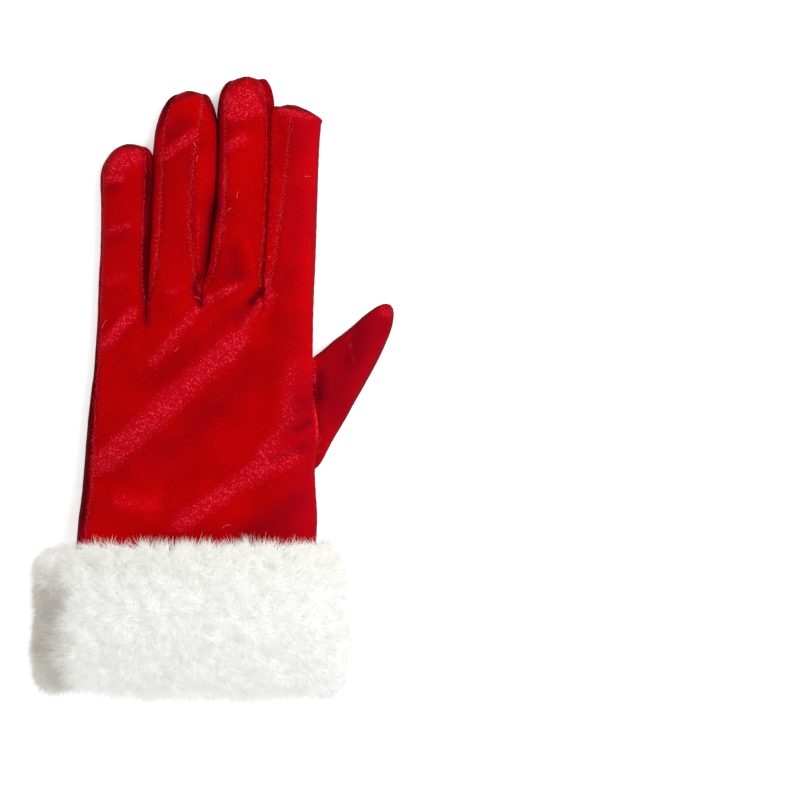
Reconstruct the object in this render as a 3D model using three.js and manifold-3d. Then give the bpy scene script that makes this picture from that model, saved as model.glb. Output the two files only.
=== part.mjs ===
// A velvet costume glove for the left hand with a white plush cuff, lying palm down.
// Millimetres. X runs across the hand towards the thumb, Y towards the fingertips, Z up.
// The origin is under the middle of the glove, on the surface that it lies on.
import * as THREE from "three";
import { mergeVertices } from "three/addons/utils/BufferGeometryUtils.js";
import Module from "manifold-3d";

const wasm = await Module();
wasm.setup();
const { clamp, lerp, smoothstep, degToRad, radToDeg } = THREE.MathUtils;

// Driving dimensions
const VELVET = 1.2; // thickness of the pile fabric
const SEAM_GAP = 0.3; // between two sewn pieces
const BACKING = 1.5; // thickness of the plush cuff's woven backing
const WRIST_Y = -76; // where the velvet ends inside the cuff
const CUFF_TOP_Y = -65; // upper edge of the backing
const CUFF_MOUTH_Y = -114; // lower edge of the backing
const PILE = 11; // height of the dense part of the plush
const LOCK = { length: 15, width: 12, depth: 5, root: 3 }; // a lock of pile, rooted in the dense part

// Mesh steps
const HAND_ROWS = 15;
const FINGER_ROWS = 14;
const PANEL_ACROSS = 4; // cells across one finger's width
const STRIP_ACROSS = 3;
const THUMB_ROWS = 11;
const THUMB_AROUND = 16;
const CUFF_AROUND = 32;

const table = (columns, rows) =>
  rows.map((row, number) => ({ number, ...Object.fromEntries(columns.map((name, i) => [name, row[i]])) }));

// One row for each section of a finger, from the crotch to the tip: the two ends of the section where
// it is widest, the heights of those ends and of the crown, and the angles of the two upper seams,
// in degrees up from the widest place.
const FINGER_COLUMNS = ["leftX", "leftY", "rightX", "rightY", "edge", "crown", "seamLeft", "seamRight"];
const LITTLE = table(FINGER_COLUMNS, [
  [-45.6, 34.0, -26.8, 34.0, 6.4, 13.2, 27, 30],
  [-44.8, 50.4, -25.7, 50.4, 6.0, 12.8, 27, 40],
  [-44.4, 68.0, -24.9, 68.0, 5.8, 12.5, 27, 44],
  [-44.6, 82.4, -24.3, 82.4, 5.7, 12.4, 27, 43],
  [-44.2, 87.0, -24.1, 88.4, 5.6, 12.2, 27, 42],
  [-42.9, 90.6, -24.8, 93.0, 5.3, 11.4, 27, 38],
  [-39.9, 94.8, -27.0, 96.0, 4.9, 9.6, 20, 26],
  [-36.8, 97.0, -30.2, 97.5, 4.4, 6.6, 8, 8],
  [-34.4, 97.9, -32.6, 97.9, 4.2, 4.2, 0, 0],
]);
const RING = table(FINGER_COLUMNS, [
  [-26.0, 34.0, -4.7, 38.4, 6.4, 13.4, 30, 30],
  [-24.8, 49.6, -2.0, 50.4, 6.0, 13.0, 40, 62],
  [-24.0, 66.4, 0.1, 66.4, 5.8, 12.8, 45, 78],
  [-23.4, 83.2, 1.2, 83.2, 5.7, 12.7, 45, 78],
  [-22.6, 97.2, 1.6, 98.0, 5.6, 12.4, 45, 73],
  [-21.0, 106.4, 0.9, 108.0, 5.4, 11.8, 42, 64],
  [-17.8, 113.6, -1.2, 114.6, 5.0, 10.4, 35, 48],
  [-13.8, 117.6, -4.0, 117.8, 4.5, 7.6, 22, 26],
  [-10.2, 119.2, -8.4, 119.2, 4.2, 4.2, 0, 0],
]);
const MIDDLE = table(FINGER_COLUMNS, [
  [-3.9, 38.4, 20.0, 38.4, 6.4, 13.6, 30, 30],
  [-1.0, 50.4, 20.8, 50.4, 6.0, 13.2, 42, 30],
  [1.1, 66.4, 21.8, 66.4, 5.8, 13.0, 48, 28],
  [2.3, 83.2, 22.6, 83.2, 5.7, 12.9, 48, 28],
  [2.8, 99.2, 23.0, 99.2, 5.6, 12.8, 44, 28],
  [3.1, 112.0, 22.8, 112.0, 5.4, 12.0, 38, 28],
  [4.8, 119.0, 21.6, 119.2, 5.0, 10.6, 30, 26],
  [8.4, 123.2, 18.6, 123.4, 4.5, 7.8, 18, 16],
  [12.6, 124.9, 14.8, 124.9, 4.2, 4.2, 0, 0],
]);
const INDEX = table(FINGER_COLUMNS, [
  [20.9, 38.4, 40.8, 38.4, 6.4, 13.4, 30, 0],
  [21.7, 50.4, 41.4, 50.4, 6.0, 13.0, 52, 0],
  [22.7, 66.4, 41.9, 66.4, 5.8, 12.7, 60, 0],
  [23.5, 83.2, 42.4, 83.2, 5.7, 12.5, 70, 0],
  [23.8, 97.2, 43.0, 97.2, 5.6, 12.0, 76, 0],
  [23.7, 105.6, 43.6, 104.8, 5.2, 11.0, 80, 0],
  [24.0, 110.2, 43.9, 107.6, 4.8, 9.4, 80, 0],
  [26.6, 112.6, 39.0, 111.0, 4.3, 6.8, 70, 0],
  [30.2, 113.7, 33.6, 113.4, 4.1, 4.1, 0, 0],
]);
const FINGERS = [LITTLE, RING, MIDDLE, INDEX];

// One row for each section of the hand, from the mouth of the cuff to the fingers. The velvet
// starts at WRIST_Y, and below it the same sections carry the cuff.
const HAND = table(
  ["y", "leftX", "rightX", "leftEdge", "rightEdge", "crown", "floor", "seamLeft"],
  [
    [-124, -60.8, 42.8, 16.4, 16.4, 27.2, 6.2, 30],
    [-98, -58.2, 42.4, 16.6, 16.6, 26.6, 7.0, 30],
    [-76, -54.4, 41.8, 16.8, 16.8, 25.8, 7.8, 28],
    [-63, -53.8, 41.8, 16.4, 16.4, 25.2, 7.4, 26],
    [-52, -53.0, 42.1, 13.4, 14.0, 22.2, 4.4, 27],
    [-41, -51.9, 41.5, 9.8, 11.2, 18.6, 1.0, 28],
    [-31.5, -51.2, 41.2, 7.9, 9.8, 16.6, -0.5, 28],
    [-21, -50.4, 42.7, 7.0, 9.5, 15.7, -0.6, 26],
    [-13, -49.6, 42.5, 6.8, 9.4, 15.5, -0.6, 24],
    [-5, -48.8, 41.2, 6.7, 9.2, 15.4, -0.6, 22],
    [8, -47.2, 40.4, 6.6, 8.6, 15.2, -0.6, 18],
    [24, -46.2, 40.4, 6.5, 7.2, 14.4, -0.6, 20],
    [40, -45.4, 40.9, 6.4, 6.4, 13.8, -0.6, 26],
  ],
);

// The thumb stall, one row for each section from its root, which is inside the hand, to its tip.
// Its left end is the edge nearer the index finger.
const THUMB = table(FINGER_COLUMNS.slice(0, 6).concat("floor"), [
  [29.6, 6.0, 31.0, -36.0, 6.2, 9.6, 2.6],
  [40.4, 12.2, 42.0, -31.6, 4.2, 8.6, -0.4],
  [48.4, 18.8, 48.8, -20.0, 4.5, 9.7, -0.6],
  [55.2, 24.2, 55.4, -8.8, 4.8, 10.6, -0.6],
  [60.8, 28.8, 61.6, 2.4, 4.9, 10.8, -0.6],
  [65.2, 32.2, 67.0, 12.4, 4.9, 10.2, -0.5],
  [68.0, 33.6, 70.8, 20.8, 4.6, 8.8, -0.2],
  [70.0, 33.8, 72.4, 26.0, 4.3, 7.2, 1.0],
  [71.5, 33.4, 72.8, 30.2, 4.1, 4.9, 3.3],
]);

// Drape folds and creases on the upper side: where each runs from and to, its half-width and height.
const FOLDS = table(
  ["fromX", "fromY", "toX", "toY", "width", "height"],
  [
    [20, 30, -50, -38, 5.5, 1.9], // across the back of the hand, from the middle finger
    [24, 14, -46, -48, 4.0, -1.1], // the hollow below it
    [12, 42, -27, 5, 3.2, 1.2], // from the ring finger
    [-26, 34, -46, 14, 3.4, 1.1], // from the little finger
    [41, -22, -20, -60, 5.0, 1.8], // from the thumb to the cuff
    [34, -12, 12, -34, 3.0, 1.0],
    [30, 34, 20, 26, 3.0, -1.3], // puckers at the crotches
    [-3, 37, -8, 28, 2.6, -1.2],
    [-26, 33, -27, 24, 2.4, -1.0],
    [-22, 91, -4, 103, 3.0, 0.8], // creases across the fingers
    [4, 94, 16, 101, 2.8, 0.8],
    [-44, 62, -30, 66, 2.6, 0.6],
    [-44, 81, -34, 84, 2.6, 0.7],
    [22, 74, 41, 70, 3.0, 0.5],
  ],
);

// A smooth curve through the rows' values, read at a value of the key column.
function sample(rows, key, at) {
  const found = rows.findIndex((row) => at < row[key]);
  const i = clamp((found < 0 ? rows.length : found) - 1, 0, rows.length - 2);
  const [before, a, b, after] = [i - 1, i, i + 1, i + 2].map((n) => rows[clamp(n, 0, rows.length - 1)]);
  const span = b[key] - a[key];
  const t = (at - a[key]) / span;
  const read = (name) => {
    const slopeA = ((b[name] - before[name]) / (b[key] - before[key])) * span;
    const slopeB = ((after[name] - a[name]) / (after[key] - a[key])) * span;
    return (
      a[name] * (1 + 2 * t) * (1 - t) ** 2 +
      slopeA * t * (1 - t) ** 2 +
      b[name] * t * t * (3 - 2 * t) -
      slopeB * t * t * (1 - t)
    );
  };
  return Object.fromEntries(Object.keys(a).map((name) => [name, read(name)]));
}

// How square a section is, across its width and in its two halves: 1 is an ellipse, less is squarer.
const FINGER_SHAPE = { across: 0.86, top: 0.9, under: 0.74 };
const HAND_SHAPE = { across: 0.7, top: 0.76, under: 0.6 };

function fingerSection(column, along) {
  const row = sample(FINGERS[column], "number", along * (FINGERS[column].length - 1));
  const depth = Math.min((row.crown - row.edge) * 0.95, row.edge + 0.6);
  return { ...row, leftEdge: row.edge, rightEdge: row.edge, floor: row.edge - depth, shape: FINGER_SHAPE };
}

function thumbSection(along) {
  const row = sample(THUMB, "number", along * (THUMB.length - 1));
  return { ...row, leftEdge: row.edge, rightEdge: row.edge, shape: FINGER_SHAPE };
}

function handSection(y) {
  const row = sample(HAND, "y", y);
  return { ...row, leftY: y, rightY: y, shape: HAND_SHAPE };
}

function foldLift(x, y) {
  return FOLDS.reduce((sum, fold) => {
    const [dx, dy] = [fold.toX - fold.fromX, fold.toY - fold.fromY];
    const length = Math.hypot(dx, dy);
    const t = ((x - fold.fromX) * dx + (y - fold.fromY) * dy) / length ** 2;
    const off = ((x - fold.fromX) * dy - (y - fold.fromY) * dx) / length;
    const taper = smoothstep(t, -0.05, 0.25) * (1 - smoothstep(t, 0.75, 1.05));
    return sum + fold.height * taper * Math.exp(-((off / fold.width) ** 2));
  }, 0);
}

// The point of a section's skin at an angle: 0 is its right end, 90 the crown, 180 its left end
// and -90 the underside.
function skinPoint(section, degrees) {
  const [c, s] = [Math.cos(degToRad(degrees)), Math.sin(degToRad(degrees))];
  const share = (1 + Math.sign(c) * Math.abs(c) ** section.shape.across) / 2;
  const rise = Math.abs(s) ** (s < 0 ? section.shape.under : section.shape.top);
  const x = lerp(section.leftX, section.rightX, share);
  const y = lerp(section.leftY, section.rightY, share);
  const edge = lerp(section.leftEdge, section.rightEdge, share);
  if (s < 0) return new THREE.Vector3(x, y, Math.max(0, edge - (edge - section.floor) * rise));
  const lift = foldLift(x, y) * smoothstep(rise, 0.35, 0.9);
  return new THREE.Vector3(x, y, edge + (section.crown - edge) * rise + lift);
}

// The angles of a finger's seams, up from its widest place and down from it. The strip between two
// fingers is sewn in between them, as far as STRIP_END, where the two panels meet.
const STRIP_END = 12.5 / FINGER_ROWS;
function seamAngles(column, along) {
  const { seamLeft, seamRight } = fingerSection(column, along);
  if (along > STRIP_END) return { upLeft: 0, upRight: 0, down: 0 };
  return { upLeft: seamLeft, upRight: seamRight, down: lerp(24, 0, along) + 22 * Math.sin(Math.PI * along) };
}

// The two side angles between which a panel covers one finger.
function panelAngles(side, column, along) {
  const { upLeft, upRight, down } = seamAngles(column, along);
  if (side === "back") return [180 - upLeft, upRight];
  return [column === 0 ? -180 - upLeft : -180 + down, column === 3 ? 0 : -down];
}

function fingerPoint(side, column, across, along) {
  const [left, right] = panelAngles(side, column, along);
  return skinPoint(fingerSection(column, along), lerp(left, right, across));
}

// The lines that continue the slits between the fingers down to the wrist, five with both edges.
const CROTCHES = [
  [LITTLE[0].leftX, LITTLE[0].leftY],
  ...[0, 1, 2].map((i) => [
    (FINGERS[i][0].rightX + FINGERS[i + 1][0].leftX) / 2,
    (FINGERS[i][0].rightY + FINGERS[i + 1][0].leftY) / 2,
  ]),
  [INDEX[0].rightX, INDEX[0].rightY],
];
function guideLine(line, along) {
  const [crotchX, crotchY] = CROTCHES[line];
  const y = lerp(WRIST_Y, crotchY, along);
  const section = handSection(y);
  if (line === 0) return [section.leftX, y];
  if (line === 4) return [section.rightX, y];
  const wrist = handSection(WRIST_Y);
  return [lerp(lerp(wrist.leftX, wrist.rightX, line / 4), crotchX, along), y];
}

// The angle at which a guide line meets the hand's section.
function guideAngle(side, line, along) {
  const [x, y] = guideLine(line, along);
  const section = handSection(y);
  if (line === 0) return side === "back" ? 180 - section.seamLeft : -180 - section.seamLeft;
  if (line === 4) return 0;
  const across = (2 * (x - section.leftX)) / (section.rightX - section.leftX) - 1;
  const angle = radToDeg(Math.acos(Math.sign(across) * Math.abs(across) ** (1 / HAND_SHAPE.across)));
  return side === "back" ? angle : -angle;
}

// Near the fingers the hand takes over their rounded backs, and the valleys between them fade out.
const FINGERS_START = 0.8;
function handPoint(side, column, across, along) {
  const y = lerp(guideLine(column, along)[1], guideLine(column + 1, along)[1], across);
  const angle = lerp(guideAngle(side, column, along), guideAngle(side, column + 1, along), across);
  const hand = skinPoint(handSection(y), angle);
  const share = smoothstep(along, FINGERS_START, 1);
  if (share === 0) return hand;
  const root = fingerPoint(side, column, across, 0);
  if (across === 0 && column > 0) root.lerp(fingerPoint(side, column - 1, 1, 0), 0.5);
  if (across === 1 && column < 3) root.lerp(fingerPoint(side, column + 1, 0, 0), 0.5);
  for (const [axis, i] of [["x", 0], ["y", 1]]) {
    const back = (line) => guideLine(line, along)[i] - guideLine(line, 1)[i];
    root[axis] += lerp(back(column), back(column + 1), across);
  }
  return hand.lerp(root, share);
}

const steps = (count) => Array.from({ length: count + 1 }, (_, i) => i / count);

// The triangles of a grid of points, rows by columns, without those that have no width.
function gridSurface(rows) {
  const face = (...corners) =>
    corners.some((p, i) => p.distanceTo(corners[(i + 1) % 3]) < 1e-3) ? [] : corners;
  return rows.slice(1).flatMap((row, i) =>
    row.slice(1).flatMap((_, j) => {
      const [a, b, c, d] = [rows[i][j], rows[i][j + 1], row[j + 1], row[j]];
      return (i + j) % 2 ? [...face(a, b, c), ...face(a, c, d)] : [...face(a, b, d), ...face(b, c, d)];
    }),
  );
}

const reversed = (points) => points.map((_, i) => points[i - (i % 3) + [0, 2, 1][i % 3]]);

// The back or the palm panel's skin: four finger columns that share their edges below the crotches.
function panelSkin(side) {
  const across = steps(PANEL_ACROSS);
  const points = FINGERS.flatMap((_, column) => {
    const hand = steps(HAND_ROWS).map((t) => across.map((u) => handPoint(side, column, u, t)));
    const finger = steps(FINGER_ROWS).map((t) => across.map((u) => fingerPoint(side, column, u, t)));
    return gridSurface([...hand, ...finger.slice(1)]);
  });
  return side === "back" ? points : reversed(points);
}

// The strip between two fingers: down one finger's side, round the crotch and up the next finger.
function fourchetteSkin(column, rows) {
  const side = (finger, along) => {
    const { upLeft, upRight, down } = seamAngles(finger, along);
    return steps(STRIP_ACROSS).map((u) => {
      const angle = lerp(finger === column ? upRight : upLeft, -down, u);
      return skinPoint(fingerSection(finger, along), finger === column ? angle : 180 - angle);
    });
  };
  const stations = steps(FINGER_ROWS).slice(1, rows + 1);
  const down = stations.map((t) => side(column, t)).reverse();
  const up = stations.map((t) => side(column + 1, t));
  const [leftRoot, rightRoot] = [side(column, 0), side(column + 1, 0)];
  const crotch = leftRoot.map((p, i) => p.lerp(rightRoot[i], 0.5));
  return reversed(gridSurface([...down, crotch, ...up]));
}

// A strip's piece stops short of its pointed ends, which only the whole skin has.
const STRIP_ROWS = Math.floor(STRIP_END * FINGER_ROWS);
const SKINS = {
  back_panel: panelSkin("back"),
  palm_panel: panelSkin("palm"),
  fourchette_little_ring: fourchetteSkin(0, STRIP_ROWS),
  fourchette_ring_middle: fourchetteSkin(1, STRIP_ROWS),
  fourchette_middle_index: fourchetteSkin(2, STRIP_ROWS),
};

const vectors = (attribute) =>
  Array.from({ length: attribute.count }, (_, i) => new THREE.Vector3().fromBufferAttribute(attribute, i));

// One indexed surface from triangles, with its normals and the edges that only one triangle has.
function surfaceOf(points) {
  const geometry = mergeVertices(new THREE.BufferGeometry().setFromPoints(points), 1e-3);
  geometry.computeVertexNormals();
  const { position, normal } = geometry.attributes;
  const index = [...geometry.index.array];
  const faces = index.filter((_, i) => i % 3 === 0).map((_, i) => index.slice(3 * i, 3 * i + 3));
  const free = new Map();
  for (const [a, b, c] of faces)
    for (const [from, to, across] of [[a, b, c], [b, c, a], [c, a, b]])
      if (!free.delete(`${to} ${from}`)) free.set(`${from} ${to}`, [from, to, across]);
  return { points: vectors(position), normals: vectors(normal), faces, freeEdges: [...free.values()] };
}

function solid(points) {
  const geometry = mergeVertices(new THREE.BufferGeometry().setFromPoints(points), 1e-4);
  const made = new wasm.Manifold(
    new wasm.Mesh({
      numProp: 3,
      vertProperties: geometry.attributes.position.array,
      triVerts: new Uint32Array(geometry.index.array),
    }),
  );
  if (made.volume() < 0) throw new Error("a solid is inside out");
  return made;
}

const corners = (surface, place) => surface.faces.flatMap((face) => face.map(place));
const offset = (surface, distance) =>
  surface.points.map((p, i) => p.clone().addScaledVector(surface.normals[i], distance));

// Two pieces that share an edge split its rim along the same diagonal, which this order picks.
const placeOrder = (p) => p.y + 0.37 * p.x;

// A closed solid from an open surface: the surface itself, a second face inside it, and a rim along
// each free edge, which is drawn back from the seam.
function thicken(surface, fromSeam = SEAM_GAP / 2) {
  const drawBack = surface.points.map(() => new THREE.Vector3());
  for (const [from, to, across] of surface.freeEdges) {
    const edge = surface.points[to].clone().sub(surface.points[from]).normalize();
    const inward = surface.points[across].clone().sub(surface.points[from]);
    inward.addScaledVector(edge, -inward.dot(edge)).normalize();
    drawBack[from].add(inward);
    drawBack[to].add(inward);
  }
  const drawn = (points) => points.map((p, i) => p.addScaledVector(drawBack[i].normalize(), fromSeam));
  const [outer, inner] = [drawn(offset(surface, 0)), drawn(offset(surface, -VELVET))];
  return solid([
    ...corners(surface, (i) => outer[i]),
    ...reversed(corners(surface, (i) => inner[i])),
    ...surface.freeEdges.flatMap(([from, to]) =>
      placeOrder(surface.points[from]) < placeOrder(surface.points[to])
        ? [outer[from], inner[to], outer[to], outer[from], inner[from], inner[to]]
        : [outer[from], inner[from], outer[to], outer[to], inner[from], inner[to]],
    ),
  ]);
}

// A closed solid from an open surface by a fan across its opening, with every face moved out.
function filled(surface, grow) {
  const moved = offset(surface, grow);
  const rim = surface.freeEdges.map(([from]) => moved[from]);
  const centre = rim.reduce((sum, p) => sum.add(p), new THREE.Vector3()).divideScalar(rim.length);
  return solid([
    ...corners(surface, (i) => moved[i]),
    ...surface.freeEdges.flatMap(([from, to]) => [moved[to], moved[from], centre]),
  ]);
}

// Normals are taken from the whole glove, so that pieces which meet at a seam agree there.
const wholeSkin = surfaceOf([
  ...SKINS.back_panel,
  ...SKINS.palm_panel,
  ...[0, 1, 2].flatMap((column) => fourchetteSkin(column, STRIP_ROWS + 1)),
]);
const cell = (p) => p.toArray().map((v) => Math.round(v * 1e3)).join(" ");
const sharedNormals = new Map(wholeSkin.points.map((p, i) => [cell(p), wholeSkin.normals[i]]));
function sewnPiece(name) {
  const surface = surfaceOf(SKINS[name]);
  surface.normals = surface.points.map((p) => sharedNormals.get(cell(p)));
  return thicken(surface, name.startsWith("fourchette") ? SEAM_GAP : SEAM_GAP / 2);
}

const loop = (section, count) => steps(count).slice(1).map((t) => skinPoint(section, -360 * t));

// The thumb stall, closed at its tip and open at its root.
function thumbSurface() {
  const loops = steps(THUMB_ROWS).map((t) => loop(thumbSection(t), THUMB_AROUND));
  const last = loops[loops.length - 1];
  const tip = last.reduce((sum, p) => sum.add(p), new THREE.Vector3()).divideScalar(last.length);
  tip.add(new THREE.Vector3(0.3, 0.3, 0));
  const closed = [...loops, last.map(() => tip)].map((points) => [...points, points[0]]);
  return surfaceOf(gridSurface(closed));
}

// The plush cuff: a backing tube under a dense pile, with locks of longer pile over it.
// One row for each place round the section of the cuff's wall: where it lies along the arm, from 0
// at the upper edge of the backing to 1 at the mouth, and how far out it is, in heights of the pile.
const CUFF_WALL = table(
  ["along", "out"],
  [
    [0, 0],
    [-0.06, 0.26],
    [-0.07, 0.55],
    [0.0, 0.84],
    [0.14, 1.02],
    [0.4, 1.12],
    [0.68, 1.12],
    [0.92, 1.03],
    [1.1, 0.84],
    [1.19, 0.5],
    [1.17, 0.16],
    [1, 0],
    [0.5, 0],
  ],
);
const CUFF_CLEARANCE = 0.35; // between the velvet and the backing's inner face

function cuffPlace(y, around, out) {
  const curve = cuffCurves.get(y) ?? new THREE.CatmullRomCurve3(loop(handSection(y), 60), true);
  cuffCurves.set(y, curve);
  const [point, tangent] = [curve.getPointAt(around), curve.getTangentAt(around)];
  const outward = new THREE.Vector3(-tangent.z, 0, tangent.x).normalize();
  return { point: point.addScaledVector(outward, CUFF_CLEARANCE + out), outward };
}
const cuffCurves = new Map();

// The surface of the pile is lumpy.
const lump = (y, around) => 1 + 0.06 * Math.sin(18 * Math.PI * around + 0.21 * y) * Math.sin(0.33 * y);

function cuffCore() {
  const rings = CUFF_WALL.map(({ along, out }) => {
    const y = lerp(CUFF_TOP_Y, CUFF_MOUTH_Y, along);
    return steps(CUFF_AROUND).map((around) => {
      const pile = out * PILE * lump(y, around % 1);
      const { point } = cuffPlace(y, around % 1, out > 0 ? BACKING + pile : 0);
      return point.setZ(Math.max(0, point.z));
    });
  });
  return solid(reversed(gridSurface([...rings, rings[0]])));
}

// One lock: a flat four-sided tuft that leans the way it is combed and droops at its point.
function lock(root, outward, comb, length) {
  const side = new THREE.Vector3().crossVectors(comb, outward).normalize();
  const ring = (along, lift, size) =>
    steps(4).map((t) =>
      root
        .clone()
        .addScaledVector(comb, along * length)
        .addScaledVector(outward, lift * length + size * (LOCK.depth / 2) * Math.sin(2 * Math.PI * t))
        .addScaledVector(side, size * (LOCK.width / 2) * Math.cos(2 * Math.PI * t)),
    );
  const [base, middle, tip] = [ring(0, 0, 1), ring(0.5, 0.2, 0.9), ring(1, 0.28, 0.3)];
  const fan = (points) => points.slice(2, -1).flatMap((p, i) => [points[0], points[i + 1], p]);
  return solid([...reversed(gridSurface([base, middle, tip])), ...fan(base), ...reversed(fan(tip))]);
}

// A repeatable spread of values from 0 to 1.
const scatter = (n) => {
  const value = Math.sin(n * 12.9898) * 43758.5453;
  return value - Math.floor(value);
};

// Locks in staggered rows round the cuff, combed away from the middle of its upper side.
const COMB_CENTRE = { x: -8, y: -80 };
const LOCK_ROWS = table(
  ["along", "out", "count", "length"],
  [
    [0.06, 0.92, 23, 0.7],
    [0.24, 1.06, 21, 0.9],
    [0.42, 1.12, 21, 1],
    [0.6, 1.12, 21, 1],
    [0.79, 1.08, 21, 1],
    [0.97, 0.96, 23, 0.78],
  ],
);
function cuffLocks() {
  return LOCK_ROWS.flatMap((row, rowNumber) =>
    steps(row.count).slice(1).flatMap((t, i) => {
      const seed = rowNumber * 40 + i;
      const around = (t + (rowNumber % 2) / (2 * row.count) + 0.012 * (scatter(seed) - 0.5)) % 1;
      const y = lerp(CUFF_TOP_Y, CUFF_MOUTH_Y, row.along) + 3 * (scatter(seed + 7) - 0.5);
      const { point, outward } = cuffPlace(y, around, BACKING + row.out * PILE);
      if (outward.z < -0.6) return [];
      point.addScaledVector(outward, -LOCK.root * (1 + Math.abs(outward.x)));
      const comb = new THREE.Vector3(point.x - COMB_CENTRE.x, 2 * (point.y - COMB_CENTRE.y));
      comb.add(new THREE.Vector3(50 * (scatter(seed + 13) - 0.5), 0, -20 * (1 - outward.z)));
      comb.addScaledVector(outward, -comb.dot(outward)).normalize();
      return [lock(point, outward, comb, LOCK.length * row.length * lerp(0.8, 1.15, scatter(seed + 3)))];
    }),
  );
}

// The slab under the surface that the glove lies on, which flattens what rests there.
function slabUnder() {
  const box = new THREE.BoxGeometry(400, 400, 20).translate(0, 0, -10).toNonIndexed();
  return solid(vectors(box.attributes.position));
}

// Trimming can leave a crumb at a corner, which is dropped.
const largest = (body) => body.decompose().reduce((a, b) => (a.volume() > b.volume() ? a : b));

const thumbSkin = thumbSurface();
const gloveAndGap = filled(wholeSkin, SEAM_GAP);
const plush = cuffLocks().reduce((sum, one) => sum.add(one), cuffCore());

const PIECES = [
  ["back_panel", sewnPiece("back_panel"), 0xb4020c],
  ["palm_panel", largest(sewnPiece("palm_panel").subtract(filled(thumbSkin, -VELVET))), 0xa8020c],
  ["fourchette_little_ring", sewnPiece("fourchette_little_ring"), 0xa0020c],
  ["fourchette_ring_middle", sewnPiece("fourchette_ring_middle"), 0xa0020c],
  ["fourchette_middle_index", sewnPiece("fourchette_middle_index"), 0xa0020c],
  ["thumb", largest(thicken(thumbSkin).subtract(gloveAndGap)), 0xac0210],
  ["fur_cuff", plush.subtract(slabUnder()).subtract(gloveAndGap), 0xf2f1ec],
];

function geometryOf(manifold) {
  const mesh = manifold.getMesh();
  const geometry = new THREE.BufferGeometry();
  geometry.setAttribute("position", new THREE.BufferAttribute(new Float32Array(mesh.vertProperties), 3));
  geometry.setIndex(new THREE.BufferAttribute(new Uint32Array(mesh.triVerts), 1));
  return geometry;
}

const glove = new THREE.Group();
for (const [name, body, color] of PIECES) {
  const roughness = name === "fur_cuff" ? 0.95 : 0.6;
  const mesh = new THREE.Mesh(
    geometryOf(body),
    new THREE.MeshStandardMaterial({ color, roughness, metalness: 0 }),
  );
  mesh.name = name;
  glove.add(mesh);
}

export default glove;
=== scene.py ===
"""A velvet costume glove with a white plush cuff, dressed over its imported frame.

Tables and shape functions are in millimetres: X runs across the hand towards the thumb, Y towards
the fingertips and Z up. make_piece turns them into metres.
"""

import math

import bpy
import numpy as np
from bpy.props import FloatProperty, FloatVectorProperty, IntProperty, PointerProperty
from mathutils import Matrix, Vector, noise
from mathutils.kdtree import KDTree


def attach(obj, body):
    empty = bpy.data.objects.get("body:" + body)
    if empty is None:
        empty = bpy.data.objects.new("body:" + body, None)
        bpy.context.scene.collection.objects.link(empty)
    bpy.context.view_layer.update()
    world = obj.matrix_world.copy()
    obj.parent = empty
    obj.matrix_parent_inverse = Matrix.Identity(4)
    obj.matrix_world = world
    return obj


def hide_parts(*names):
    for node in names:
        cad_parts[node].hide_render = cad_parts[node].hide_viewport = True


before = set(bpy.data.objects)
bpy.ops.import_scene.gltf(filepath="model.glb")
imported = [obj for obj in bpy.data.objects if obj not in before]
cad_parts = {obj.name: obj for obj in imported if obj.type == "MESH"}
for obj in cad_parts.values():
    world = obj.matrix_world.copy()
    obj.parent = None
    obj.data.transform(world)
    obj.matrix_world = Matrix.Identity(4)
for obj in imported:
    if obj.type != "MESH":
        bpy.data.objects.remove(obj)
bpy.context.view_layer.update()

bl_info = {
    "name": "Velvet glove with a plush cuff",
    "version": (1, 0, 0),
    "blender": (4, 5, 0),
    "location": "View3D > Sidebar > Glove",
    "description": "Sews a velvet glove, grows its plush cuff and sets the studio round it",
    "category": "Add Mesh",
}

MM = 0.001
BODY = "root"

# How far two sewn pieces and the two sides of a slit stay apart.
SEAM_OPENING = 0.02
SLIT = 0.06

# Where the velvet of the hand ends under the cuff, and where the cuff's own cloth starts and ends.
WRIST_Y = -76
CUFF_TOP_Y = -65
CUFF_MOUTH_Y = -114

# The cuff's cloth: how far it is from the velvet and how thick it is. The pile: how far out of the velvet
# it starts, and how high it is.
CUFF_CLEARANCE = 0.35
CUFF_CLOTH = 0.8
BACKING = 1.5
PILE = 11

# Steps of the meshes, lengthwise and round.
HAND_STEPS = 130
FINGER_STEPS = 112
PANEL_ACROSS = 24
STRIP_ACROSS = 12
THUMB_STEPS = 110
THUMB_AROUND = 80
CUFF_AROUND = 220
WOOL_AROUND = 260
WOOL_ACROSS = 60
WOOL_INSIDE = 16


def table(columns, rows):
    """Named columns of numbers, with the number of each row."""
    made = dict(zip(columns, np.array(rows, float).T))
    made["number"] = np.arange(len(rows), dtype=float)
    return made


# One row for each section of a finger, from the crotch to the tip: the two ends of the section where
# it is widest, the heights of those ends and of the crown, and the angles of the two upper seams.
FINGER_COLUMNS = ["leftX", "leftY", "rightX", "rightY", "edge", "crown", "seamLeft", "seamRight"]
LITTLE = table(FINGER_COLUMNS, [
    [-45.6, 34.0, -26.8, 34.0, 6.4, 13.2, 27, 30],
    [-44.8, 50.4, -25.7, 50.4, 6.0, 12.8, 27, 40],
    [-44.4, 68.0, -24.9, 68.0, 5.8, 12.5, 27, 44],
    [-44.6, 82.4, -24.3, 82.4, 5.7, 12.4, 27, 43],
    [-44.2, 87.0, -24.1, 88.4, 5.6, 12.2, 27, 42],
    [-42.9, 90.6, -24.8, 93.0, 5.3, 11.4, 27, 38],
    [-39.9, 94.8, -27.0, 96.0, 4.9, 9.6, 20, 26],
    [-36.8, 97.0, -30.2, 97.5, 4.4, 6.6, 8, 8],
    [-34.4, 97.9, -32.6, 97.9, 4.2, 4.2, 0, 0],
])
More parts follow.
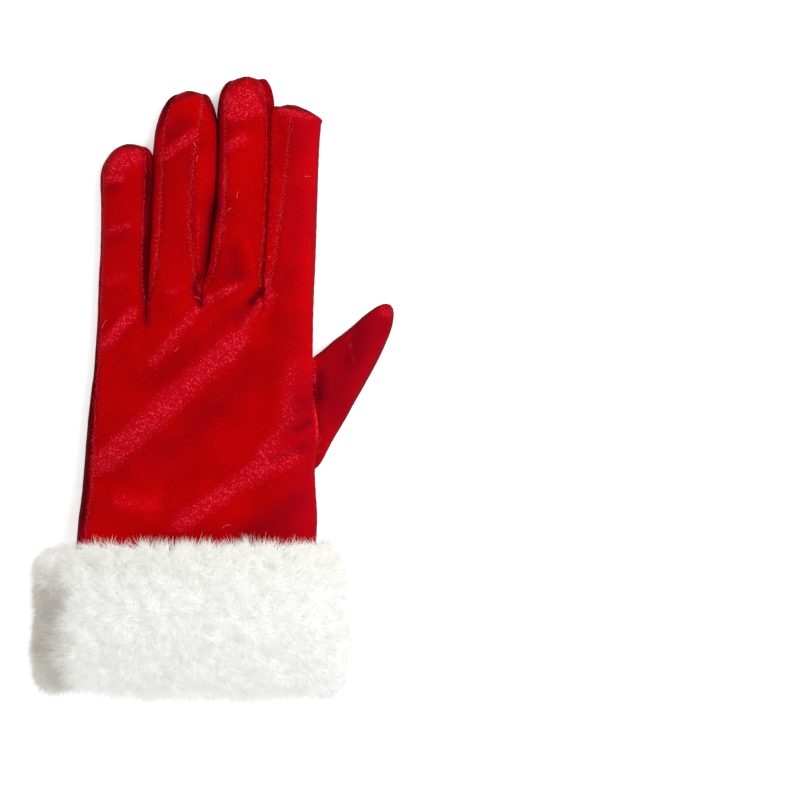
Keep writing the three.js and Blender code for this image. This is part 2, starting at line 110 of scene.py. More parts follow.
RING = table(FINGER_COLUMNS, [
    [-26.0, 34.0, -4.7, 38.4, 6.4, 13.4, 30, 30],
    [-24.8, 49.6, -2.0, 50.4, 6.0, 13.0, 40, 62],
    [-24.0, 66.4, 0.1, 66.4, 5.8, 12.8, 45, 78],
    [-23.4, 83.2, 1.2, 83.2, 5.7, 12.7, 45, 78],
    [-22.6, 97.2, 1.6, 98.0, 5.6, 12.4, 45, 73],
    [-21.0, 106.4, 0.9, 108.0, 5.4, 11.8, 42, 64],
    [-17.8, 113.6, -1.2, 114.6, 5.0, 10.4, 35, 48],
    [-13.8, 117.6, -4.0, 117.8, 4.5, 7.6, 22, 26],
    [-10.2, 119.2, -8.4, 119.2, 4.2, 4.2, 0, 0],
])
MIDDLE = table(FINGER_COLUMNS, [
    [-3.9, 38.4, 20.0, 38.4, 6.4, 13.6, 30, 30],
    [-1.0, 50.4, 20.8, 50.4, 6.0, 13.2, 42, 30],
    [1.1, 66.4, 21.8, 66.4, 5.8, 13.0, 48, 28],
    [2.3, 83.2, 22.6, 83.2, 5.7, 12.9, 48, 28],
    [2.8, 99.2, 23.0, 99.2, 5.6, 12.8, 44, 28],
    [3.1, 112.0, 22.8, 112.0, 5.4, 12.0, 38, 28],
    [4.8, 119.0, 21.6, 119.2, 5.0, 10.6, 30, 26],
    [8.4, 123.2, 18.6, 123.4, 4.5, 7.8, 18, 16],
    [12.6, 124.9, 14.8, 124.9, 4.2, 4.2, 0, 0],
])
INDEX = table(FINGER_COLUMNS, [
    [20.9, 38.4, 40.8, 38.4, 6.4, 13.4, 30, 0],
    [21.7, 50.4, 41.4, 50.4, 6.0, 13.0, 52, 0],
    [22.7, 66.4, 41.9, 66.4, 5.8, 12.7, 60, 0],
    [23.5, 83.2, 42.4, 83.2, 5.7, 12.5, 70, 0],
    [23.8, 97.2, 43.0, 97.2, 5.6, 12.0, 76, 0],
    [23.7, 105.6, 43.6, 104.8, 5.2, 11.0, 80, 0],
    [24.0, 110.2, 43.9, 107.6, 4.8, 9.4, 80, 0],
    [26.6, 112.6, 39.0, 111.0, 4.3, 6.8, 70, 0],
    [30.2, 113.7, 33.6, 113.4, 4.1, 4.1, 0, 0],
])
FINGERS = [LITTLE, RING, MIDDLE, INDEX]

# One row for each section of the hand, from the mouth of the cuff to the fingers.
HAND = table(
    ["y", "leftX", "rightX", "leftEdge", "rightEdge", "crown", "floor", "seamLeft"],
    [
        [-124, -60.8, 42.8, 16.4, 16.4, 27.2, 6.2, 30],
        [-98, -58.2, 42.4, 16.6, 16.6, 26.6, 7.0, 30],
        [-76, -54.4, 41.8, 16.8, 16.8, 25.8, 7.8, 28],
        [-63, -53.8, 41.8, 16.4, 16.4, 25.2, 7.4, 26],
        [-52, -53.0, 42.1, 13.4, 14.0, 22.2, 4.4, 27],
        [-41, -51.9, 41.5, 9.8, 11.2, 18.6, 1.0, 28],
        [-31.5, -51.2, 41.2, 7.9, 9.8, 16.6, -0.5, 28],
        [-21, -50.4, 42.7, 7.0, 9.5, 15.7, -0.6, 26],
        [-13, -49.6, 42.5, 6.8, 9.4, 15.5, -0.6, 24],
        [-5, -48.8, 41.2, 6.7, 9.2, 15.4, -0.6, 22],
        [8, -47.2, 40.4, 6.6, 8.6, 15.2, -0.6, 18],
        [24, -46.2, 40.4, 6.5, 7.2, 14.4, -0.6, 20],
        [40, -45.4, 40.9, 6.4, 6.4, 13.8, -0.6, 26],
    ],
)

# The thumb stall, one row for each section from its root, inside the hand, to its tip.
THUMB = table(FINGER_COLUMNS[:6] + ["floor"], [
    [29.6, 6.0, 31.0, -36.0, 6.2, 9.6, 2.6],
    [40.4, 12.2, 42.0, -31.6, 4.2, 8.6, -0.4],
    [48.4, 18.8, 48.8, -20.0, 4.5, 9.7, -0.6],
    [55.2, 24.2, 55.4, -8.8, 4.8, 10.6, -0.6],
    [60.8, 28.8, 61.6, 2.4, 4.9, 10.8, -0.6],
    [65.2, 32.2, 67.0, 12.4, 4.9, 10.2, -0.5],
    [68.0, 33.6, 70.8, 20.8, 4.6, 8.8, -0.2],
    [70.0, 33.8, 72.4, 26.0, 4.3, 7.2, 1.0],
    [71.5, 33.4, 72.8, 30.2, 4.1, 4.9, 3.3],
])

# Drape folds and creases on the upper side: where each runs from and to, its half-width and height.
STROKE_COLUMNS = ["fromX", "fromY", "toX", "toY", "width", "amount"]
FOLDS = table(STROKE_COLUMNS, [
    [20, 30, -50, -38, 5.5, 1.9],
    [24, 14, -46, -48, 4.0, -1.1],
    [12, 42, -27, 5, 3.2, 1.2],
    [-26, 34, -46, 14, 3.4, 1.1],
    [41, -22, -20, -60, 5.0, 1.8],
    [34, -12, 12, -34, 3.0, 1.0],
    [30, 34, 20, 26, 3.0, -1.3],
    [-3, 37, -8, 28, 2.6, -1.2],
    [-26, 33, -27, 24, 2.4, -1.0],
    [-22, 91, -4, 103, 3.0, 0.8],
    [4, 94, 16, 101, 2.8, 0.8],
    [-44, 62, -30, 66, 2.6, 0.6],
    [-44, 81, -34, 84, 2.6, 0.7],
    [22, 74, 41, 70, 3.0, 0.5],
])

# Finer creases that only the dressed glove has.
CREASES = table(STROKE_COLUMNS, [
    [-5.5, 96, -4.0, 66, 1.3, -0.55],
    [-4.0, 78, -5.5, 44, 1.2, -0.5],
    [-1.5, 88, -1.0, 58, 1.1, -0.35],
    [7, 57, 10.5, 41, 2.6, -0.8],
    [13, 60, 16.8, 44, 1.5, 0.7],
    [-43, 90, -36, 88, 1.3, -0.5],
    [-44, 57, -34, 60, 1.4, -0.3],
    [-44, 46, -34, 49, 1.5, -0.25],
    [6, 89, 14, 93, 1.4, -0.35],
    [23.4, 44, 21.2, 35, 1.4, 0.7],
    [21.4, 36.4, 13, 22, 1.5, 0.7],
    [20.6, 41, 13, 31, 1.6, -1.1],
    [17, 34, 7, 24, 2.2, -0.5],
    [-6.6, 46, -6.6, 37, 1.1, -1.0],
    [-6.8, 40, -3.6, 32, 1.4, -0.9],
    [-4.0, 43.6, -2.4, 38, 1.3, 0.8],
    [13, 42, -5, 33.5, 2.2, 0.8],
    [-1, 35.5, -12, 25, 2.2, 0.7],
    [19, 60, 21, 42, 1.6, 0.6],
    [25, 2, 33, 12, 2.2, 0.5],
    [30, -2, 40, -10, 1.8, -0.5],
    [26, -18, 40, -12, 1.6, -0.45],
    [31, -27, 41, -20, 1.5, -0.35],
    [-40, 24, -30, 34, 1.6, -0.35],
    [-14, 24, -6, 33, 1.6, 0.35],
])

# Painted sheen: where the pile lies over and catches the light, the velvet is painted lighter and
# speckled with painted glints.
BANDS = table(STROKE_COLUMNS, [
    [18, 26, -24, -12, 5.6, 0.85],
    [-14, -4, -50, -36, 5.2, 1.0],
    [23.6, 44.4, 21.2, 35.6, 1.4, 1.0],
    [21.6, 37.4, 13, 24, 1.3, 0.9],
    [16, 29, 5, 8, 1.4, 0.8],
    [13, 42, -5, 33.5, 2.0, 0.8],
    [-1, 35.5, -12, 25, 2.4, 0.8],
    [-8, 29, -27, 6, 3.0, 0.7],
    [-28, 34, -46, 14, 3.0, 0.9],
    [-20, 38, -10, 40, 2.0, 0.5],
    [39, -24, 8, -38, 4.6, 0.9],
    [14, -36, -18, -58, 4.2, 0.9],
    [36, -8, 16, -30, 3.4, 0.6],
    [33, 15, 29, -14, 4.4, 0.55],
    [-44, -45, -16, -47, 4.5, 0.42],
    [-22, 90, -4, 104, 2.4, 0.9],
    [3, 94, 15, 101, 2.4, 0.9],
    [2, 111, 23, 117, 7.5, 1.0],
    [-44, 83, -34, 84, 1.9, 0.9],
    [-44, 88, -26, 94, 4.4, 0.9],
    [-43, 62, -30, 66, 1.7, 0.7],
    [-44, 41, -32, 46, 2.2, 0.55],
    [-20, 86, -22, 40, 1.8, 0.4],
    [5.6, 92, 4.2, 54, 1.7, 0.55],
    [25.4, 112, 22.4, 46, 2.2, 0.5],
    [24, 112, 44, 108, 2.2, 0.9],
    [-5.0, 74, -5.2, 44, 0.5, 0.6],
    [-45, 32, -50, -60, 1.6, 0.4],
    [26, 40, 20, 26, 1.8, 0.7],
    [40.4, 18, 41.0, -2, 0.8, 0.9],
    [40.8, 0, 42.8, -24, 0.8, 0.9],
    [66, 31, 73, 30, 2.6, 0.8],
    [54, 24, 57, 7, 1.1, 0.75],
])

# Painted shade and painted light: where the velvet is painted deeper than its flat colour, in the slits,
# crotches, creases and hollows and along its edges, or brighter where light falls on it.
SHADES = table(STROKE_COLUMNS, [
    [-25.7, 100, -26.2, 32, 1.6, -0.75],
    [4.0, 106, 2.2, 64, 1.5, -0.65],
    [1.3, 80, -3.2, 42, 2.2, -0.8],
    [-26.6, 62, -26.3, 30, 1.8, -0.45],
    [8, 58.5, 9.5, 42, 3.4, -0.27],
    [3, 45, 16, 44.5, 2.6, -0.14],
    [13.4, 61, 16.6, 44, 1.7, 0.18],
    [-8.4, 98, -7.4, 56, 1.4, -0.25],
    [-3.4, 96, -4.0, 50, 1.6, 0.12],
    [-45.9, 26, -52.4, -70, 2.1, -0.85],
    [-42, -45, -18, -46, 5.0, 0.2],
    [46, -56, -34, -63, 4.5, -0.15],
    [-36, 92, -36, 40, 7.0, -0.08],
    [-15, 112, -16, 44, 6.0, -0.07],
    [14, 120, 12, 56, 6.0, 0.1],
    [39, 56, 39, -4, 4.0, 0.25],
    [39, 106, 39, 44, 4.0, 0.12],
    [22, 106, 21, 44, 2.2, 0.15],
    [44, -18, 74, 36, 16.0, -0.27],
    [-26, 33, -26, 24, 1.8, -0.4],
    [-5.0, 47, -7.0, 38, 1.5, -0.6],
    [-7.0, 40, -3.6, 31, 1.5, -0.55],
    [-3.8, 44, -2.8, 38.5, 1.2, 0.2],
    [20.9, 52, 20.2, 36, 0.9, -0.5],
    [20.8, 40, 14.8, 32.6, 1.5, -0.75],
    [17, 34.6, 8, 26, 3.0, -0.25],
    [14, 34, -30, -4, 2.8, -0.14],
    [20, 12, -26, -36, 6.0, -0.14],
    [-20, 99, -7, 108, 2.8, -0.2],
    [4, 103.5, 14, 106, 2.0, -0.2],
    [-44, 78.5, -36, 80, 1.8, -0.2],
    [-44, 58, -34, 60, 1.8, -0.14],
    [41, -42, 8, -62, 5.5, -0.26],
    [40, -22, 22, -30, 1.6, -0.32],
    [41, -12, 33, -18, 1.5, -0.35],
    [37, -4, 28, -20, 3.0, -0.2],
    [-16, -16, -44, -38, 6.0, -0.12],
    [34, 40, 30, 28, 6.0, 0.1],
    [42.8, 9, 43.0, -8, 2.6, -0.42],
    [40.4, 20, 41.0, -2, 0.9, 0.6],
    [40.8, 0, 42.8, -26, 0.9, 0.32],
    [71, 25, 53, -9, 3.6, 0.14],
    [61, 28, 54, 6, 3.4, -0.2],
    [-23.4, 70, -22.2, 104, 1.3, -0.4],
    [-22.6, 98, -15.6, 117, 1.1, -0.45],
    [-19, 113.4, -4, 119.4, 1.0, -0.4],
    [-4, 118.2, 2, 104, 1.0, -0.4],
    [2.4, 94, 4.6, 119, 1.2, -0.4],
    [4, 117.6, 15, 125.4, 1.0, -0.35],
    [16, 125, 23.2, 108, 1.0, -0.35],
    [-44.6, 84, -37, 97.4, 1.0, -0.3],
    [-39, 97, -25.5, 95.4, 0.9, -0.3],
    [26, 113.6, 43, 109.4, 0.8, -0.3],
])

# How square a section is, across its width and in its two halves: 1 is an ellipse, less is squarer.
FINGER_SHAPE = {"across": 0.86, "top": 0.9, "under": 0.74}
HAND_SHAPE = {"across": 0.7, "top": 0.76, "under": 0.6}


def lerp(a, b, t):
    return a + (b - a) * t


def smoothstep(value, low, high):
    t = np.clip((value - low) / (high - low), 0, 1)
    return t * t * (3 - 2 * t)


def bell(value, width):
    return np.exp(-((value / width) ** 2))


def unit(vectors):
    return vectors / np.maximum(np.linalg.norm(vectors, axis=-1, keepdims=True), 1e-9)


def sample(rows, key, at):
    """A smooth curve through the rows' values, read at values of the key column."""
    keys = rows[key]
    a = np.clip(np.searchsorted(keys, at, side="right") - 1, 0, len(keys) - 2)
    b = a + 1
    before = np.maximum(a - 1, 0)
    after = np.minimum(b + 1, len(keys) - 1)
    span = keys[b] - keys[a]
    t = (at - keys[a]) / span
    read = {}
    for name, v in rows.items():
        slope_a = (v[b] - v[before]) / (keys[b] - keys[before]) * span
        slope_b = (v[after] - v[a]) / (keys[after] - keys[a]) * span
        rising = slope_a * t * (1 - t) ** 2 - slope_b * t * t * (1 - t)
        read[name] = v[a] * (1 + 2 * t) * (1 - t) ** 2 + v[b] * t * t * (3 - 2 * t) + rising
    return read


def stall_section(rows, along):
    """A section of a finger or of the thumb, whose two edges are at one height."""
    row = sample(rows, "number", along * (len(rows["number"]) - 1))
    return {**row, "leftEdge": row["edge"], "rightEdge": row["edge"], "shape": FINGER_SHAPE}


# A finger is nearly as deep under its widest place as it is high over it, and never reaches further than
# this under the floor, on which it is pressed flat.
UNDERSIDE, PRESSED = 0.95, 0.6


def finger_section(column, along):
    row = stall_section(FINGERS[column], along)
    depth = np.minimum((row["crown"] - row["edge"]) * UNDERSIDE, row["edge"] + PRESSED)
    return {**row, "floor": row["edge"] - depth}


def thumb_section(along):
    return stall_section(THUMB, along)


def hand_section(y):
    row = sample(HAND, "y", y)
    return {**row, "leftY": y, "rightY": y, "shape": HAND_SHAPE}


def strokes(rows, x, y):
    """The sum at each place of soft strokes, which taper towards both of their ends."""
    total = np.zeros(np.shape(x))
    for i in range(len(rows["number"])):
        dx = rows["toX"][i] - rows["fromX"][i]
        dy = rows["toY"][i] - rows["fromY"][i]
        length = math.hypot(dx, dy)
        t = ((x - rows["fromX"][i]) * dx + (y - rows["fromY"][i]) * dy) / length**2
        off = ((x - rows["fromX"][i]) * dy - (y - rows["fromY"][i]) * dx) / length
        taper = smoothstep(t, -0.05, 0.25) * (1 - smoothstep(t, 0.75, 1.05))
        total += rows["amount"][i] * taper * bell(off, rows["width"][i])
    return total


def skin_point(section, degrees):
    """The skin of a section at an angle: 0 is its right end, 90 the crown and -90 the underside."""
    c, s = np.cos(np.radians(degrees)), np.sin(np.radians(degrees))
    shape = section["shape"]
    share = (1 + np.sign(c) * np.abs(c) ** shape["across"]) / 2
    rise = np.abs(s) ** np.where(s < 0, shape["under"], shape["top"])
    x = lerp(section["leftX"], section["rightX"], share)
    y = lerp(section["leftY"], section["rightY"], share)
    edge = lerp(section["leftEdge"], section["rightEdge"], share)
    under = np.maximum(0, edge - (edge - section["floor"]) * rise)
    lift = strokes(FOLDS, x, y) * smoothstep(rise, 0.35, 0.9)
    over = edge + (section["crown"] - edge) * rise + lift
    return np.stack([x, y, np.where(s < 0, under, over)], -1)


# The strips between the fingers narrow to nothing between these two places along a finger.
STRIP_NARROWS, STRIP_END = 12 / 14, 13 / 14

# The angle of a lower seam at the crotch, and how far it bows further down along the finger.
SEAM_UNDER, SEAM_UNDER_BOW = 24, 22


def seam_angles(column, along):
    """The angles of a finger's upper seams and of its lower ones, from its widest place."""
    row = finger_section(column, along)
    left = np.clip((STRIP_END - along) / (STRIP_END - STRIP_NARROWS), 0, 1)
    down = lerp(SEAM_UNDER, 0, along) + SEAM_UNDER_BOW * np.sin(np.pi * along)
    return row["seamLeft"] * left, row["seamRight"] * left, down * left


# Near a crotch the two fingers' skins ease over to the place between them.
CROTCH_EASE = 0.08
CROTCH_FADE = (30, 62)


def finger_skin(column, degrees, along):
    """The skin of a finger, drawn together with its neighbours at the crotches."""
    place = skin_point(finger_section(column, along), degrees)
    ease = np.clip(1 - along / CROTCH_EASE, 0, 1) ** 2
    root = skin_point(finger_section(column, np.zeros(1)), degrees)
    turned = (degrees + 180) % 360 - 180
    for neighbour, from_side in ((column + 1, np.abs(turned)), (column - 1, 180 - np.abs(turned))):
        if neighbour in (-1, 4):
            continue
        partner = skin_point(finger_section(neighbour, np.zeros(1)), 180 - degrees)
        weight = ease * (1 - smoothstep(from_side, *CROTCH_FADE))
        place = place + (partner - root) * 0.5 * weight[..., None]
    return place


def panel_point(side, column, across, along):
    up_left, up_right, down = seam_angles(column, along)
    if side == "back":
        left, right = 180 - up_left, up_right
    else:
        left = -180 - up_left if column == 0 else -180 + down
        right = 0 * down if column == 3 else -down
    return finger_skin(column, lerp(left, right, across), along)


# The lines that continue the slits between the fingers down to the wrist, five with both edges.
CROTCHES = [(LITTLE["leftX"][0], LITTLE["leftY"][0])]
for _left, _right in zip(FINGERS[:3], FINGERS[1:]):
    CROTCHES.append(tuple((_left["right" + axis][0] + _right["left" + axis][0]) / 2 for axis in "XY"))
CROTCHES.append((INDEX["rightX"][0], INDEX["rightY"][0]))


def guide_line(line, along):
    crotch_x, crotch_y = CROTCHES[line]
    y = lerp(WRIST_Y, crotch_y, along)
    section = hand_section(y)
    if line == 0:
        return section["leftX"], y
    if line == 4:
        return section["rightX"], y
    wrist = hand_section(np.array(float(WRIST_Y)))
    return lerp(lerp(wrist["leftX"], wrist["rightX"], line / 4), crotch_x, along), y


def guide_angle(side, line, along):
    """The angle at which a guide line meets the hand's section."""
    x, y = guide_line(line, along)
    section = hand_section(y)
    if line == 0:
        return 180 - section["seamLeft"] if side == "back" else -180 - section["seamLeft"]
    if line == 4:
        return 0 * y
    across = 2 * (x - section["leftX"]) / (section["rightX"] - section["leftX"]) - 1
    angle = np.degrees(np.arccos(np.sign(across) * np.abs(across) ** (1 / HAND_SHAPE["across"])))
    return angle if side == "back" else -angle


# Where along a guide line the hand's skin begins to ease over to the fingers' roots.
FINGERS_START = 0.8


def hand_point(side, column, across, along):
    """The hand's skin, which takes over the fingers' rounded backs near their roots."""
    y = lerp(guide_line(column, along)[1], guide_line(column + 1, along)[1], across)
    angle = lerp(guide_angle(side, column, along), guide_angle(side, column + 1, along), across)
    hand = skin_point(hand_section(y), angle)
    root = panel_point(side, column, across, 0 * along)
    for axis in (0, 1):
        left, right = (
            guide_line(line, along)[axis] - guide_line(line, 1.0)[axis] for line in (column, column + 1)
        )
        root[..., axis] += lerp(left, right, across)
    return lerp(hand, root, smoothstep(along, FINGERS_START, 1)[..., None])


def grid_faces(rows, columns, first=0):
    """The triangles of a grid of points, with their diagonals crossing over."""
    i, j = np.meshgrid(np.arange(rows - 1), np.arange(columns - 1), indexing="ij")
    a = first + i * columns + j
    b, c, d = a + 1, a + columns + 1, a + columns
    odd = ((i + j) % 2 == 1)[..., None]
    one = np.where(odd, np.stack([a, b, c], -1), np.stack([a, b, d], -1))
    two = np.where(odd, np.stack([a, c, d], -1), np.stack([b, c, d], -1))
    return np.concatenate([one.reshape(-1, 3), two.reshape(-1, 3)])


def weld(points, faces):
    """Joins points that lie in one place, and drops faces that lose their width or lie on another."""
    _, first, inverse = np.unique(np.round(points, 3), axis=0, return_index=True, return_inverse=True)
    faces = inverse.ravel()[faces]
    a, b, c = faces.T
    faces = faces[(a != b) & (b != c) & (c != a)]
    _, owner, count = np.unique(np.sort(faces, axis=1), axis=0, return_inverse=True, return_counts=True)
    return points[first], faces[count[owner.ravel()] == 1]


def steps(count):
    return np.linspace(0, 1, count + 1)


def join_grids(grids):
    """Several grids of points as one welded surface."""
    points, faces, first = [], [], 0
    for grid in grids:
        rows, columns = grid.shape[:2]
        faces.append(grid_faces(rows, columns, first))
        points.append(grid.reshape(-1, 3))
        first += rows * columns
    return weld(np.concatenate(points), np.concatenate(faces))


def panel_surface(side):
    across = steps(PANEL_ACROSS)[None, :]
    grids = []
    for column in range(4):
        hand = hand_point(side, column, across, steps(HAND_STEPS)[:, None])
        finger = panel_point(side, column, across, steps(FINGER_STEPS)[1:, None])
        grids.append(np.concatenate([hand, finger]))
    points, faces = join_grids(grids)
    return points, faces if side == "back" else faces[:, ::-1]


def fourchette_surface(column):
    """The strip between two fingers: down one side, round the crotch and up the other."""
    share = steps(STRIP_ACROSS)[None, :]
    stations = steps(FINGER_STEPS)
    stations = stations[stations < STRIP_END - 1e-6][:, None]

    def side(finger, along):
        up_left, up_right, down = seam_angles(finger, along)
        angle = lerp(up_right if finger == column else up_left, -down, share)
        return finger_skin(finger, angle if finger == column else 180 - angle, along)

    down, up = side(column, stations)[::-1], side(column + 1, stations)
    points, faces = join_grids([np.concatenate([down, up[1:]])])
    return points, faces[:, ::-1]


def slit_middle(column, y):
    """The X of the middle of the slit between a finger and the next one."""
    one, other = FINGERS[column], FINGERS[column + 1]
    right = np.interp(y, one["rightY"], one["rightX"])
    left = np.interp(y, other["leftY"], other["leftX"])
    return (right + left) / 2


def vertex_normals(points, faces):
    a, b, c = (points[faces[:, i]] for i in range(3))
    flat = np.cross(b - a, c - a)
    total = np.zeros_like(points)
    for i in range(3):
        np.add.at(total, faces[:, i], flat)
    return unit(total)


def free_edges(faces):
    """The directed edges that only one face has."""
    edges = np.concatenate([faces[:, [0, 1]], faces[:, [1, 2]], faces[:, [2, 0]]])
    low, high = edges.min(1).astype(np.int64), edges.max(1)
    _, first, count = np.unique(low * (faces.max() + 1) + high, return_index=True, return_counts=True)
    return edges[first[count == 1]]


def nearest(targets, points):
    """The distance from each point to the nearest target, and that target's number."""
    tree = KDTree(len(targets))
    for i, target in enumerate(targets):
        tree.insert(target, i)
    tree.balance()
    found = [tree.find(point)[1:] for point in points.tolist()]
    return np.array([f[1] for f in found]), np.array([f[0] for f in found])


def waves(points, size, seed):
    """A smooth repeatable unevenness from -1 to 1, with lumps of a size."""
    offset = Vector((seed * 7.1, seed * 3.7, seed * 1.3))
    return np.array([noise.noise(Vector(p) / size + offset) for p in points.tolist()])


def inside(section, place, grow):
    """Whether places on a section's line are within its skin, grown by a distance."""
    width_x = section["rightX"] - section["leftX"]
    width_y = section["rightY"] - section["leftY"]
    width = np.hypot(width_x, width_y)
    run = (place[..., 0] - section["leftX"]) * width_x + (place[..., 1] - section["leftY"]) * width_y
    share = run / width**2
    across = np.minimum(np.abs(2 * share - 1) * width / (width + 2 * grow), 1.0)
    s = np.sqrt(1 - np.minimum(across ** (1 / section["shape"]["across"]), 1.0) ** 2)
    edge = lerp(section["leftEdge"], section["rightEdge"], np.clip(share, 0, 1))
    top = edge + (section["crown"] - edge) * s ** section["shape"]["top"] + grow
    under = edge - (edge - section["floor"]) * s ** section["shape"]["under"] - grow
    z = place[..., 2]
    return (across < 1) & (z < top) & (z > under)


def inside_hand(place, grow):
    return inside(hand_section(place[..., 1]), place, grow)


def inside_thumb(place, grow):
    """Finds which of the thumb's sections a place is on, and looks there."""
    stations = np.linspace(0, 1, 121)
    rows = thumb_section(stations)
    dx, dy = rows["rightX"] - rows["leftX"], rows["rightY"] - rows["leftY"]
    x, y = place[:, 0, None], place[:, 1, None]
    side = (x - rows["leftX"]) * dy - (y - rows["leftY"]) * dx
    crossing = (side[:, 1:] * side[:, :-1]) <= 0
    station = stations[np.argmax(crossing, axis=1)]
    return crossing.any(1) & inside(thumb_section(station), place, grow)


# The thumb's closing point is this far beyond the middle of its last loop.
TIP_REACH = [0.3, 0.3, 0]


def thumb_surface():
    """The thumb stall from where it leaves the hand to its tip, round in loops."""
    angles = -360 * np.arange(THUMB_AROUND) / THUMB_AROUND
    fine = np.linspace(0, 1, 600)[:, None]
    hidden = inside_hand(skin_point(thumb_section(fine), angles[None, :]), SEAM_OPENING)
    start = fine[hidden.shape[0] - 1 - np.argmax(hidden[::-1], axis=0), 0]
    start = np.where(hidden.any(0), start, 0)
    along = lerp(start[None, :], 1, steps(THUMB_STEPS)[:, None])
    loops = skin_point(thumb_section(along), np.broadcast_to(angles, along.shape))
    tip = loops[-1].mean(0) + TIP_REACH
    loops = np.concatenate([loops, np.broadcast_to(tip, (1, THUMB_AROUND, 3))])
    return join_grids([np.concatenate([loops, loops[:, :1]], axis=1)])


def make_piece(name, points, faces, material, replaced, attributes):
    """Makes a piece that rides the glove, from points in millimetres and triangles."""
    mesh = bpy.data.meshes.new(name)
    mesh.vertices.add(len(points))
    mesh.vertices.foreach_set("co", (points * MM).astype(np.float32).ravel())
    mesh.loops.add(faces.size)
    mesh.loops.foreach_set("vertex_index", faces.astype(np.int32).ravel())
    mesh.polygons.add(len(faces))
    mesh.polygons.foreach_set("loop_start", np.arange(0, faces.size, 3, dtype=np.int32))
    mesh.update(calc_edges=True)
    mesh.shade_smooth()
    for kind, values in attributes.items():
        layer = mesh.attributes.new(kind, "FLOAT", "POINT")
        layer.data.foreach_set("value", np.asarray(values, np.float32))
    mesh.materials.append(material)
    piece = bpy.data.objects.new(name, mesh)
    bpy.context.scene.collection.objects.link(piece)
    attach(piece, BODY)
    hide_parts(replaced)


class Value:
    """A shader socket that Python's operators work on, each with a Math node."""

    def __init__(self, tree, socket):
        self.tree = tree
        self.socket = socket

    def maths(self, operation, *values):
        return self.tree.node("ShaderNodeMath", {"operation": operation}, dict(enumerate(values)))

    def __add__(self, other):
        return self.maths("ADD", self, other)

    def __sub__(self, other):
        return self.maths("SUBTRACT", self, other)

    def __rsub__(self, other):
        return self.maths("SUBTRACT", other, self)

    def __mul__(self, other):
        return self.maths("MULTIPLY", self, other)

    def __gt__(self, other):
        return self.maths("GREATER_THAN", self, other)

    __radd__ = __add__
    __rmul__ = __mul__

    def output(self, name):
        """Another output of the same node."""
        return Value(self.tree, self.socket.node.outputs[name])


class MaterialTree:
    """The nodes of one material."""

    def __init__(self, name):
        self.material = bpy.data.materials.new(name)
        self.material.use_nodes = True
        self.nodes = self.material.node_tree.nodes
        self.links = self.material.node_tree.links
        self.nodes.clear()

    def node(self, kind, settings=None, inputs=None, output=0):
        """A node: its settings are set first, and then the values or links of its sockets.

        A colour is given as three numbers and is opaque.
        """
        made = self.nodes.new(kind)
        for name, value in (settings or {}).items():
            setattr(made, name, value)
        for name, value in (inputs or {}).items():
            if isinstance(value, Value):
                self.links.new(value.socket, made.inputs[name])
            else:
                socket = made.inputs[name]
                socket.default_value = (*value, 1.0) if socket.type == "RGBA" else value
        return Value(self, made.outputs[output]) if made.outputs else None

    def place(self):
        return self.node("ShaderNodeTexCoord", output="Object")

    def attribute(self, name):
        return self.node("ShaderNodeAttribute", {"attribute_name": name}, output="Fac")

    def noise(self, place, size, detail=2.0):
        """An unevenness from 0 to 1, with lumps of a size in metres."""
        inputs = {"Vector": place, "Scale": 1 / size, "Detail": detail}
        return self.node("ShaderNodeTexNoise", None, inputs)

    def step(self, value, low, high):
        inputs = {"Value": value, "From Min": low, "From Max": high}
        return self.node("ShaderNodeMapRange", {"interpolation_type": "SMOOTHSTEP"}, inputs)

    def mix(self, one, other, share, blend="MIX"):
        """Two colours mixed by a share."""
        settings = {"data_type": "RGBA", "blend_type": blend}
        return self.node("ShaderNodeMix", settings, {0: share, 6: one, 7: other}, output=2)

    def bump(self, height, distance, strength):
        inputs = {"Height": height, "Distance": distance, "Strength": strength}
        return self.node("ShaderNodeBump", None, inputs)

    def surface(self, **inputs):
        """The shader itself, with each input's name written with underscores for its spaces."""
        named = {name.replace("_", " "): value for name, value in inputs.items()}
        shader = self.node("ShaderNodeBsdfPrincipled", None, named)
        self.node("ShaderNodeOutputMaterial", None, {"Surface": shader})
        return self.material


# Painted light: thread, pile and hair glow by this share of their colour, in place of the light that
# finds its way between the hairs and through them.
GLOW = 0.3


def glowing(colour):
    """The inputs that thread, pile and hair share, with their painted glow."""
    return {"Base_Color": colour, "Emission_Color": colour, "Emission_Strength": GLOW}


# Sizes in metres of the velvet's slow changes of tone, the clouds of its painted sheen, the grain of that
# sheen and its pile.
DRIFT_SIZE, CLOUD_SIZE, GRAIN_SIZE, PILE_SIZE = 0.018, 0.003, 0.00045, 0.0005

# Between which values each thing sets in: the painted sheen bands, the painted glints of a seam where its
# painted shade is light, their patches, the flat tone in place of the deep one, the grain of the painted
# sheen, and the edge of one tuft's painted glint.
LIT, GLINTS_WHERE_LIGHT, PATCHES = (0.12, 0.85), (0.5, 0.95), (0.42, 0.58)
FLAT, GRAIN, TUFT_EDGE = (0.3, 0.65), (0.5, 0.72), (0.25, 0.6)

# The share of the tufts that get no painted glint, away from the painted sheen bands and the seams.
DULL_SHARE = 0.98

# How strongly velvet and thread mirror the light.
PILE_SHINE = 0.04


